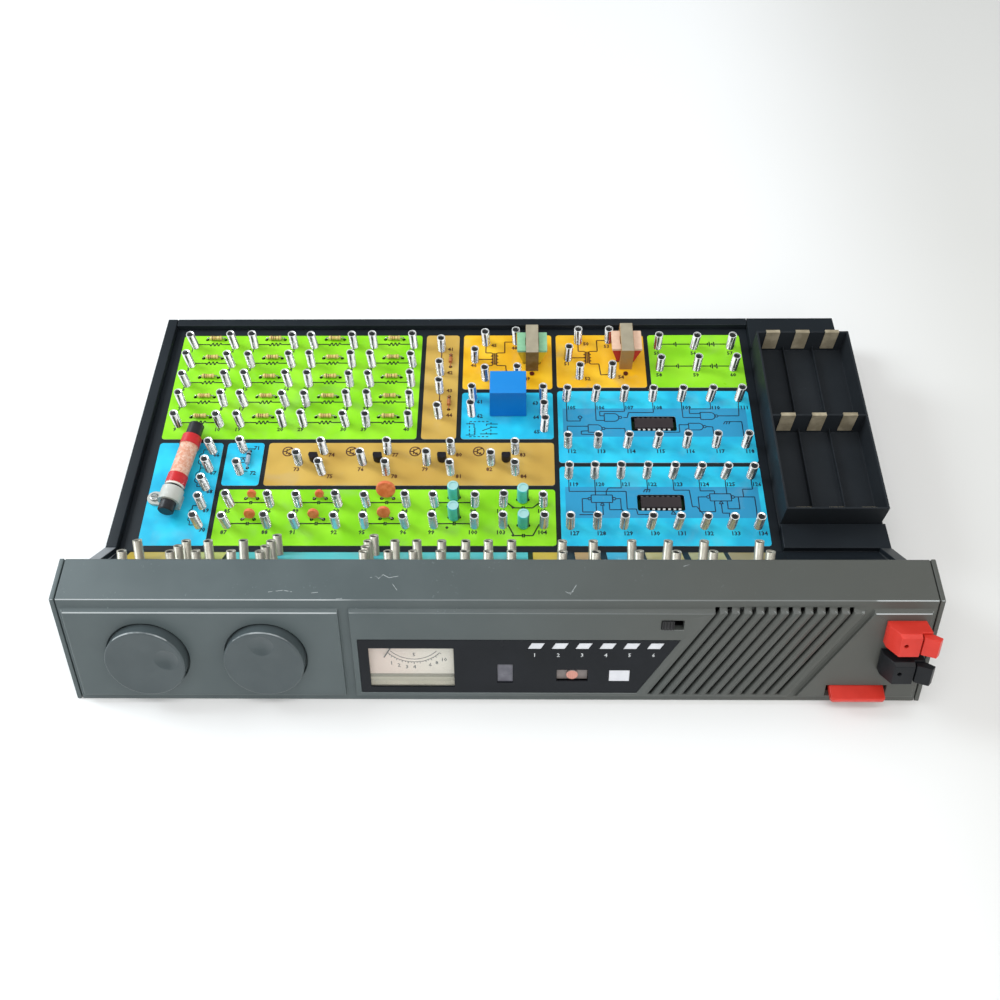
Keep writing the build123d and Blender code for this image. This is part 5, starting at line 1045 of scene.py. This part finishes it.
# %% Numbers on the tan and amber cards
brown_numbers = numbers("silicon", 41, [(13.2, 59.2), (13.2, 43.0), (13.4, 31.0), (13.8, 15.0)])
for card, first in (("input", 45), ("output", 50)):
    round_core = [(16.2, 29.8), (5.6, 16.0), (16.2, 5.8), (27.2, 28.0), (33.8, 6.9)]
    brown_numbers += numbers(card, first, round_core)
for column in range(4):
    left = TRANSISTOR_PITCH * column
    three = [(15.4 + left, 9.5), (32.0 + left, 18.2), (32.3 + left, 5.3)]
    brown_numbers += numbers("transistors", 73 + 3 * column, three)
press("numbers_brown", typeset(brown_numbers, NUMBER_HEIGHT), ink_brown, deck_place(NUMBER_GAP))

# %% [markdown]
# The schematic symbols come from a few small functions: a zigzag for a resistor, two plates for a capacitor,
# long and short plates for cells, and a rounded gate with a small ring for each logic function.

# %% Symbols for the green cards
ZIGZAG_HALF, TEETH, TOOTH = 3.15, 6, 1.1
PLATE_HALF, PLATE_GAP, PLUS_HALF = 0.95, 0.4, 0.7
GREEN_STROKE, BLUE_STROKE, BROWN_STROKE = 0.66, 0.48, 0.6


def drawing(card, paths):
    """Paths in one card's own millimetres, moved to where the card lies."""
    return [[at(card, *point) for point in path] for path in paths]


def zigzag(x, y):
    """The teeth of a resistor, round their middle."""
    step = 2 * ZIGZAG_HALF / TEETH
    teeth = [(x - ZIGZAG_HALF + step * (n + 0.5), y + (TOOTH if n % 2 else -TOOTH)) for n in range(TEETH)]
    return [(x - ZIGZAG_HALF, y), *teeth, (x + ZIGZAG_HALF, y)]


def plates(x, y):
    """A capacitor's two plates, seen from the side."""
    return [[(place, y - PLATE_HALF), (place, y + PLATE_HALF)] for place in (x - PLATE_GAP, x + PLATE_GAP)]


def plus(x, y):
    """The small cross that marks a capacitor's positive side."""
    return [[(x - PLUS_HALF, y), (x + PLUS_HALF, y)], [(x, y - PLUS_HALF), (x, y + PLUS_HALF)]]


# %% Schematics on the green cards
green_lines = []
for column in range(4):
    for row in range(5):
        x, y = 6.9 + RESISTOR_PITCH * column, 10.5 + RESISTOR_ROW * row
        green_lines += drawing("resistors", [[(x + 1.5, y), *zigzag(x + 10.75, y), (x + 20.0, y)]])
    for y in (12.2, 24.1):
        x = 6.5 + DISC_PITCH * column
        ends = [[(x + 1.6, y), (x + 9.3, y)], [(x + 10.1, y), (x + 17.8, y)]]
        marked = plus(x + 6.3, y - 2.2) if column == 3 else []
        green_lines += drawing("capacitors", plates(x + 9.7, y) + ends + marked)
for y, drop in ((24.1, 3.0), (12.2, 6.6)):
    x, foot = 6.5 + DISC_PITCH * 4, y - drop
    left_bend = [(x + 2.2, y - 0.4), (x + 5.2, foot), (x + 9.3, foot)]
    right_bend = [(x + 17.2, y - 0.4), (x + 14.2, foot), (x + 10.1, foot)]
    can = [left_bend, right_bend, *plates(x + 9.7, foot), *plus(x + 4.7, foot + 0.2)]
    green_lines += drawing("capacitors", can)
for y in (14.4, 29.6):
    tall_and_short = ((14.1, 0.8), (15.0, 1.6), (32.0, 0.8), (32.9, 1.6), (34.4, 0.8), (35.3, 1.6))
    cells = [[(x, y - tall), (x, y + tall)] for x, tall in tall_and_short]
    ends = [(6.8, 14.1), (15.0, 22.5), (26.2, 32.0), (33.3, 34.0), (35.3, 41.8)]
    green_lines += drawing("batteries", cells + [[(left, y), (right, y)] for left, right in ends])
press("schematic_green", [drawn(green_lines, GREEN_STROKE)], ink_dark, deck_place())

# %% Symbols for the blue cards
NOT_R, GROUND_HALF, BOX_W, WEDGE_HALF, WEDGE_HEIGHT = 0.75, 1.3, 10.3, 1.0, 1.6


def gate(left, right, low, high):
    """A rounded logic gate that points right, with the small ring that means not."""
    half = (high - low) / 2
    middle = (low + high) / 2
    outline = [(right - half, high), (left, high), (left, low), (right - half, low)]
    outline += arc(right - half, middle, half, -90, 90, 10)
    return [outline, ring(right + NOT_R, middle, NOT_R)]


def ground(x, y):
    """A bar with three slanting strokes under it."""
    strokes = [[(x - GROUND_HALF, y), (x + GROUND_HALF, y)]]
    strokes += [[(x + step, y), (x + step - 0.8, y - 1.6)] for step in (-GROUND_HALF, 0, GROUND_HALF)]
    return strokes


def flip_flop(left, low, high, pins_y, wedge_x):
    """A box with a ring at either side, and a small wedge under it for its clock."""
    right, base = left + BOX_W, low - WEDGE_HEIGHT
    box = [(left, low), (right, low), (right, high), (left, high), (left, low)]
    wedge = [(wedge_x, low), (wedge_x - WEDGE_HALF, base), (wedge_x + WEDGE_HALF, base), (wedge_x, low)]
    return [box, wedge, ring(left - 0.8, pins_y, NOT_R), ring(right + 0.8, pins_y, NOT_R)]


# %% Schematics on the blue cards
navy_lines = drawing("logic_a", [
    [(4.6, 39.6), (4.6, 25.8), (11.3, 25.8), (11.3, 27.0)],
    [(11.3, 27.0), (12.4, 28.1), (11.3, 29.2), (10.2, 28.1), (11.3, 27.0)],
    [(19.4, 39.6), (19.4, 26.2), (23.7, 26.2)],
    [(33.4, 28.0), (35.4, 28.0), (36.2, 31.2), (49.0, 31.2), (49.0, 39.6)],
    [(34.2, 39.6), (34.2, 31.9), (21.5, 31.9), (21.5, 29.1), (23.7, 29.1)],
    [(23.8, 21.1), (33.7, 21.1), (34.2, 13.0)], [(4.6, 13.0), (4.6, 22.5), (15.2, 22.5)],
    [(15.2, 19.6), (11.6, 19.4), (11.6, 17.5), (19.4, 17.3), (19.4, 13.0)],
    [(81.8, 29.0), (92.4, 29.0), (93.4, 39.6)],
    [(78.6, 39.6), (78.6, 33.5), (67.4, 33.5), (67.4, 30.5), (72.8, 30.5)],
    [(63.8, 39.6), (63.8, 27.9), (72.8, 27.9)], [(75.0, 22.2), (78.3, 22.0), (78.6, 13.0)],
    [(66.2, 23.4), (61.4, 23.4), (61.4, 18.7), (49.0, 18.7), (49.0, 13.0)],
    [(66.2, 20.9), (64.6, 20.6), (63.8, 13.0)], [(93.4, 13.0), (93.4, 25.3), (86.1, 25.3)],
    *gate(23.7, 31.1, 25.6, 30.5), *gate(15.2, 22.2, 18.7, 23.4), *gate(72.8, 80.2, 26.7, 31.2),
    *gate(66.2, 73.5, 20.1, 24.3), *ground(86.1, 25.3),
])
navy_lines += drawing("logic_b", [
    *flip_flop(15.0, 24.2, 28.5, 26.4, 20.2),
    [(13.4, 26.4), (10.6, 26.4), (10.6, 18.8), (17.2, 18.8), (17.2, 24.2)],
    [(26.9, 26.4), (29.2, 26.4), (29.2, 20.1)],
    [
        (4.4, 39.0), (4.4, 30.6), (32.1, 30.6), (32.1, 20.5), (36.5, 20.5), (37.0, 17.4), (42.7, 17.4),
        (42.7, 13.0),
    ],
    [(17.15, 39.0), (17.15, 28.5)], [(29.9, 39.0), (29.9, 32.6), (23.6, 32.6), (22.4, 30.6), (22.4, 28.5)],
    [(9.0, 17.3), (20.4, 17.3), (20.4, 22.6)],
    [(23.6, 24.2), (23.6, 20.1), (29.9, 20.1), (29.9, 13.0)], [(17.15, 13.0), (17.15, 18.8)],
    [(42.65, 39.0), (42.65, 31.7)], *ground(42.65, 31.7),
    *flip_flop(72.5, 25.1, 29.2, 27.4, 77.6),
    [(55.4, 39.0), (55.4, 31.3), (62.9, 31.3), (63.5, 21.8), (65.7, 21.8), (68.2, 17.9), (68.2, 13.0)],
    [(68.15, 39.0), (68.15, 30.9), (75.0, 30.9), (75.0, 29.2)], [(80.9, 39.0), (80.9, 29.2)],
    [(93.65, 39.0), (93.65, 31.9), (88.8, 31.9), (88.8, 27.4), (84.4, 27.4)],
    [(88.8, 27.4), (94.1, 27.4), (94.1, 19.7), (93.65, 13.0)],
    [(70.9, 27.4), (66.8, 27.4), (66.8, 19.0), (74.4, 19.0), (74.4, 25.1)],
    [(77.6, 23.5), (77.6, 18.2), (80.9, 18.2), (80.9, 13.0)],
    [(80.6, 25.1), (80.6, 20.6), (86.2, 20.6), (86.2, 27.4)],
    [(53.0, 17.6), (55.2, 17.6), (54.1, 19.4), (53.0, 17.6)],
])

# %% The relay, the aerial's taps and the small diode
dashes = [[(x, y), (x + 1.2, y)] for y in (1.5, 11.0) for x in (4.3, 6.4, 8.5, 10.6, 12.7)]
dashes += [[(x, y), (x, y + 1.2)] for x in (4.3, 15.2) for y in (2.6, 4.8, 7.0, 9.2)]
coil_bumps = [arc(6.6, 6.4 - 1.1 * n, 0.6, 100, -100, 6) for n in range(4)]
navy_lines += drawing("relay", dashes + coil_bumps + [
    [(6.6, 7.0), (6.6, 9.6), (2.6, 9.6)], [(6.6, 2.5), (2.6, 2.5)], [(12.9, 3.2), (18.6, 3.2)],
    [(12.9, 9.4), (18.6, 9.4)], [(18.4, 7.4), (15.8, 7.4), (10.8, 5.2)],
    [(9.8, 3.2), (12.9, 3.2), (12.9, 4.2)],
    [(12.9, 9.4), (12.9, 8.2)],
])
for high, low, count in ((55.4, 44.4, 2), (44.4, 33.4, 2), (22.4, 11.4, 3)):
    step = 6.6 / count
    top = (high + low) / 2 + 3.3
    bumps = [point for n in range(count) for point in arc(22.8, top - step * (n + 0.5), step / 2, 90, 270, 8)]
    navy_lines += drawing("antenna", [[(26.2, high), (22.8, high), *bumps, (22.8, low), (26.2, low)]])
navy_lines += drawing("germanium", [
    [(9.6, 22.0), (14.2, 22.0)], [(9.6, 8.5), (12.0, 8.5)], [(7.2, 16.6), (10.2, 16.6)],
    [(7.2, 13.8), (10.2, 13.8), (8.7, 16.4), (7.2, 13.8)],
])
press("schematic_blue", [drawn(navy_lines, BLUE_STROKE)], ink_navy, deck_place())

# %% Schematics on the tan and amber cards
brown_lines = []
for column in range(4):
    x, y = 10.0 + TRANSISTOR_PITCH * column, 20.4
    brown_lines += drawing("transistors", [
        ring(x, y, 2.7), [(x - 0.7, y - 1.5), (x - 0.7, y + 1.5)], [(x - 2.7, y), (x - 0.7, y)],
        [(x - 0.7, y + 0.5), (x + 1.7, y + 2.0)], [(x - 0.7, y - 0.5), (x + 1.7, y - 2.0)],
        [(x + 0.1, y - 1.7), (x + 1.0, y - 1.5), (x + 0.9, y - 0.6)],
    ])
for card in ("input", "output"):
    core_strokes = [[(x, 16.5), (x, 24.5)] for x in (15.7, 16.5, 17.3)]
    primary = [point for n in range(4) for point in arc(14.6, 23.6 - 2.2 * n, 1.1, 90, -90, 6)]
    secondary = [point for n in range(4) for point in arc(18.6, 23.6 - 2.2 * n, 1.1, 90, 270, 6)]
    brown_lines += drawing(card, core_strokes + [
        primary, secondary, [(11.9, 30.6), (11.9, 24.7), (14.6, 24.7)], [(7.6, 20.2), (14.6, 20.2)],
        [(11.9, 9.0), (12.2, 15.9), (14.6, 15.9)], [(26.8, 32.3), (22.0, 32.3), (22.0, 24.7), (18.6, 24.7)],
        [(27.2, 8.7), (23.2, 8.5), (22.5, 15.9), (18.6, 15.9)],
    ])
for high, low in ((59.8, 43.5), (31.4, 15.2)):
    middle = (high + low) / 2
    brown_lines += drawing("silicon", [
        [(8.4, high - 2.0), (8.4, low + 2.0)], [(7.2, middle + 0.9), (9.6, middle + 0.9)],
        [(7.2, middle - 1.3), (9.6, middle - 1.3), (8.4, middle + 0.9), (7.2, middle - 1.3)],
    ])
press("schematic_brown", [drawn(brown_lines, BROWN_STROKE)], ink_brown, deck_place())

# %% [markdown]
# ## The meter's scale and the lamp numbers
# The meter's scale is printed on the plate behind its window: two bowed arcs, ticks, and the numbers of its
# two scales. Under each lamp a small pale number is printed on the black window.

# %% The meter's scale
BEND_X, BEND_Y, INNER_R, OUTER_R, LONG_R, SHORT_R = -36.2, -21.4, 13.5, 15.1, 16.2, 15.7
ARC_START, ARC_END, TICKS, METER_STROKE = -139, -41, 20, 0.36
PLATE_LINES, PLATE_NUMBERS, WINDOW_FACE, FRONT_HEIGHT = -3.08, -3.05, 1.62, 2.0

scale_lines = [arc(BEND_X, BEND_Y, radius, ARC_START, ARC_END, 24) for radius in (INNER_R, OUTER_R)]
for step in range(TICKS + 1):
    angle = radians(ARC_START + (ARC_END - ARC_START) * step / TICKS)
    reaches = (OUTER_R, SHORT_R if step % 2 else LONG_R)
    scale_lines.append([(BEND_X + r * cos(angle), BEND_Y + r * sin(angle)) for r in reaches])
press("meter_lines", [drawn(scale_lines, METER_STROKE)], ink_meter, face_at(PLATE_LINES))
scale_numbers = [
    (1, -46.3, -37.2), (2, -43.0, -38.4), (3, -39.5, -39.4), (4, -36.1, -39.4), (6, -29.1, -38.2),
    (8, -26.1, -37.0), (10, -22.9, -35.2), (5, -36.1, -32.4),
]
press("meter_numbers", typeset(scale_numbers, FRONT_HEIGHT, 0.03), ink_meter, face_at(PLATE_NUMBERS))

# %% Lamp numbers
LAMPS, LAMP_LEFT, LAMP_PITCH, LAMP_ROW = 6, 17.2, 10.35, -28.6
under_lamps = [(n + 1, LAMP_LEFT + LAMP_PITCH * n, LAMP_ROW) for n in range(LAMPS)]
press("lamp_numbers", typeset(under_lamps, FRONT_HEIGHT, 0.02), ink_white, face_at(WINDOW_FACE))

# %% [markdown]
# ## Dark mouths
# A spring is open at the top, and its bore is so deep and narrow that hardly any light comes back out. A dark
# disc set a little below each mouth gives that shade at the cost of ten corners. Where the discs go is read
# from the solids: the points of each top ring give its middle, and the plane they lie in gives the way the
# spring leans.

# %% Finding the mouths
RING_REACH = 5.0


def mouths(node, base, outward, height):
    """The middle of each spring's top ring, and the way it faces."""
    rims = []
    for vertex in nodes[node].data.vertices:
        if (vertex.co / MM - base).dot(outward) > height:
            near = [rim for rim in rims if (rim[0] - vertex.co).length < RING_REACH * MM]
            if near:
                near[0].append(vertex.co.copy())
            else:
                rims.append([vertex.co.copy()])
    found = []
    for rim in rims:
        middle = sum(rim, Vector()) / len(rim)
        far = max(rim, key=lambda point: (point - rim[0]).length)
        side = max(rim, key=lambda point: (point - rim[0]).cross(far - rim[0]).length)
        facing = (far - rim[0]).cross(side - rim[0]).normalized()
        found.append((middle, facing if facing.dot(outward) > 0 else -facing))
    return found


UP, OFF_SLOPE = Vector((0, 0, 1)), Vector((0, sin(SLOPE), cos(SLOPE)))
SLOPE_TOP, SLOPE_HEIGHT, DECK_HEIGHT = Vector((0, -36.85, 19.7)), 9.3, 29.87
open_ends = mouths("console_terminals", SLOPE_TOP, OFF_SLOPE, SLOPE_HEIGHT)
for node in ("component_terminals", "logic_terminals", "power_terminals", "resistor_terminals"):
    open_ends += mouths(node, Vector(), UP, DECK_HEIGHT)
print(len(open_ends), "springs")

# %% Bores
BORE_R, BORE_DROP = 1.5, 0.4
bpy.ops.object.select_all(action="DESELECT")
bpy.ops.mesh.primitive_circle_add(vertices=10, radius=BORE_R * MM, fill_type="NGON")
disc = bpy.context.active_object
discs = []
for middle, facing in open_ends:
    bore = disc.copy()
    bore.data = disc.data.copy()
    bpy.context.scene.collection.objects.link(bore)
    leaning = facing.to_track_quat("Z", "Y").to_matrix().to_4x4()
    bore.matrix_world = Matrix.Translation(middle - facing * BORE_DROP * MM) @ leaning
    discs.append(bore)
bpy.data.objects.remove(disc)
bore_shade = ink("bore_shade", tint(12, 13, 14), tint(30, 32, 32), 0.6)
press("spring_bores", discs, bore_shade, Matrix.Identity(4))

# %% [markdown]
# In front of each transformer's core, a small brown rivet shows on the card. Its head is only a short
# cylinder, because at this size a rounded edge would not be seen.

# %% Rivets
RIVET_R, RIVET_HEIGHT, RIVET_Y = 1.25, 0.5, 70.0
rivets = []
for x in (17.7, 67.0):
    bpy.ops.mesh.primitive_cylinder_add(vertices=24, radius=RIVET_R * MM, depth=RIVET_HEIGHT * MM)
    head = bpy.context.active_object
    head.location = (x * MM, RIVET_Y * MM, RIVET_HEIGHT / 2 * MM)
    rivets.append(head)
rivet_brown = ink("rivet_brown", tint(78, 20, 14), tint(112, 40, 26), 0.35)
press("core_rivets", rivets, rivet_brown, deck_place(0.01))


# %% [markdown]
# ## Camera
# The camera stands in front of the trainer and looks down on it at about 58 degrees, near enough for the
# depth of the tray to foreshorten. Its three axes are given as directions, because a matrix leaves no doubt
# about order.

# %% The camera
EYE, LENS, SENSOR = Vector((7.9, -267.85, 430.0)), 35.99, 36.0
camera = bpy.data.objects.new("camera", bpy.data.cameras.new("camera"))
bpy.context.scene.collection.objects.link(camera)
right = Vector((0.99991118, 0.00732432, -0.01113515))
down = Vector((0.00024049, -0.84524569, -0.53437784))
ahead = Vector((-0.01332589, 0.53432769, -0.84517237))
aim = Matrix((right, -down, -ahead)).transposed()
camera.matrix_world = Matrix.Translation(EYE * MM) @ aim.to_4x4()
camera.data.lens = LENS
camera.data.sensor_width = SENSOR
camera.data.clip_start = 0.01
bpy.context.scene.camera = camera
print("camera height in mm:", round(camera.location.z / MM))

# %% [markdown]
# ## Light and floor
# The trainer stands in a pale room. An even world lights it from all round. What shiny parts mirror is drawn
# apart, as broad upright strips round the horizon: dark in front, where a viewer stands, bright at either
# side, and grey behind. The strips give every plated spring its dark middle between two bright lines.

# %% The room
bpy.context.scene.view_settings.view_transform = "Standard"
world = bpy.data.worlds.new("studio")
bpy.context.scene.world = world
world.use_nodes = True
sky = world.node_tree
around = sky.nodes.new("ShaderNodeTexCoord")
bearing = sky.nodes.new("ShaderNodeTexGradient")
bearing.gradient_type = "RADIAL"
tones = sky.nodes.new("ShaderNodeValToRGB")
strips = [
    (0.0, 1.7), (0.14, 1.7), (0.17, 0.03), (0.28, 0.03), (0.31, 1.5), (0.5, 1.5), (0.54, 0.25),
    (0.9, 0.25), (0.94, 1.7),
]
while len(tones.color_ramp.elements) < len(strips):
    tones.color_ramp.elements.new(0.5)
for stop, (position, level) in zip(tones.color_ramp.elements, strips):
    stop.position, stop.color = position, (level, level, level * 1.02, 1)
seen = sky.nodes.new("ShaderNodeLightPath")
choose = sky.nodes.new("ShaderNodeMix")
choose.data_type = "RGBA"
choose.inputs[6].default_value = (0.95, 0.97, 1.0, 1)
sky.links.new(around.outputs["Generated"], bearing.inputs["Vector"])
sky.links.new(bearing.outputs["Fac"], tones.inputs["Fac"])
sky.links.new(seen.outputs["Is Glossy Ray"], choose.inputs[0])
sky.links.new(tones.outputs["Color"], choose.inputs[7])
sky.links.new(choose.outputs[2], sky.nodes["Background"].inputs["Color"])
sky.nodes["Background"].inputs["Strength"].default_value = 0.7

# %% [markdown]
# Four soft panels add direction: a cool one high on the left, a warm one on the right, a long one overhead
# that draws a line along the upper edges, and a wide one low in front. Glossy surfaces don't mirror the last
# one, because it would lay a white sheet over the black window.

# %% Light panels
def panel(name, place, target, width, depth, watts, colour):
    """A soft light panel, aimed at a point. Places are in metres."""
    lamp = bpy.data.lights.new(name, "AREA")
    lamp.shape, lamp.size, lamp.size_y = "RECTANGLE", width, depth
    lamp.energy, lamp.color = watts, colour
    holder = bpy.data.objects.new(name, lamp)
    bpy.context.scene.collection.objects.link(holder)
    holder.location = place
    holder.rotation_euler = (Vector(target) - Vector(place)).to_track_quat("-Z", "Y").to_euler()
    return holder


panel("cool_left", (-0.8, 0.3, 0.6), (0, 0, 0), 0.4, 0.4, 6.5, (0.86, 0.95, 1.0))
panel("warm_right", (0.8, -0.35, 0.7), (0, 0, 0), 0.5, 0.6, 1.4, (1.0, 0.92, 0.8))
panel("overhead", (0.0, -0.16, 1.1), (0, -0.12, 0), 0.9, 0.2, 3.0, (1.0, 1.0, 1.0))
front = panel("wide_front", (0.0, -1.1, 0.45), (0, 0, 0), 1.2, 0.4, 3.0, (1.0, 1.0, 1.0))
front.visible_glossy = False

# %% [markdown]
# The floor is a plain pale sheet, painted darker and warmer to the right of the tray as painted shade, with a
# faint cloudy drift besides. It is marked as stage, so it isn't part of the object.

# %% Floor
bpy.ops.object.select_all(action="DESELECT")
bpy.ops.mesh.primitive_plane_add(size=8.0, location=(0, 0, -0.0002))
floor = bpy.context.active_object
floor.name = "floor"
floor_sheet = Finish("floor_sheet")
# Painted shade: darker and warmer to the right of the tray.
drift = floor_sheet.x.soft(120, 300) * 0.8 + floor_sheet.noise(260, 2) * 0.2
floor_sheet.set(**{
    "Base Color": floor_sheet.mix(drift, (0.9, 0.9, 0.89, 1), (0.66, 0.655, 0.625, 1)),
    "Roughness": 0.85,
})
dress(floor, floor_sheet)
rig.stage(floor)

# %% [markdown]
# ## Size
# The CAD model's box and the box of the finished looks are both written out so that they can be compared.

# %% Finish
new_low, new_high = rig.bounds()
with open("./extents.json", "w") as report:
    json.dump({"cad": [list(cad_low), list(cad_high)], "visual": [list(new_low), list(new_high)]}, report)
outer, inner = [*cad_low, *new_high], [*new_low, *cad_high]
print("grown by, in mm:", [round(max(a - b, 0) / MM, 3) for a, b in zip(outer, inner)])
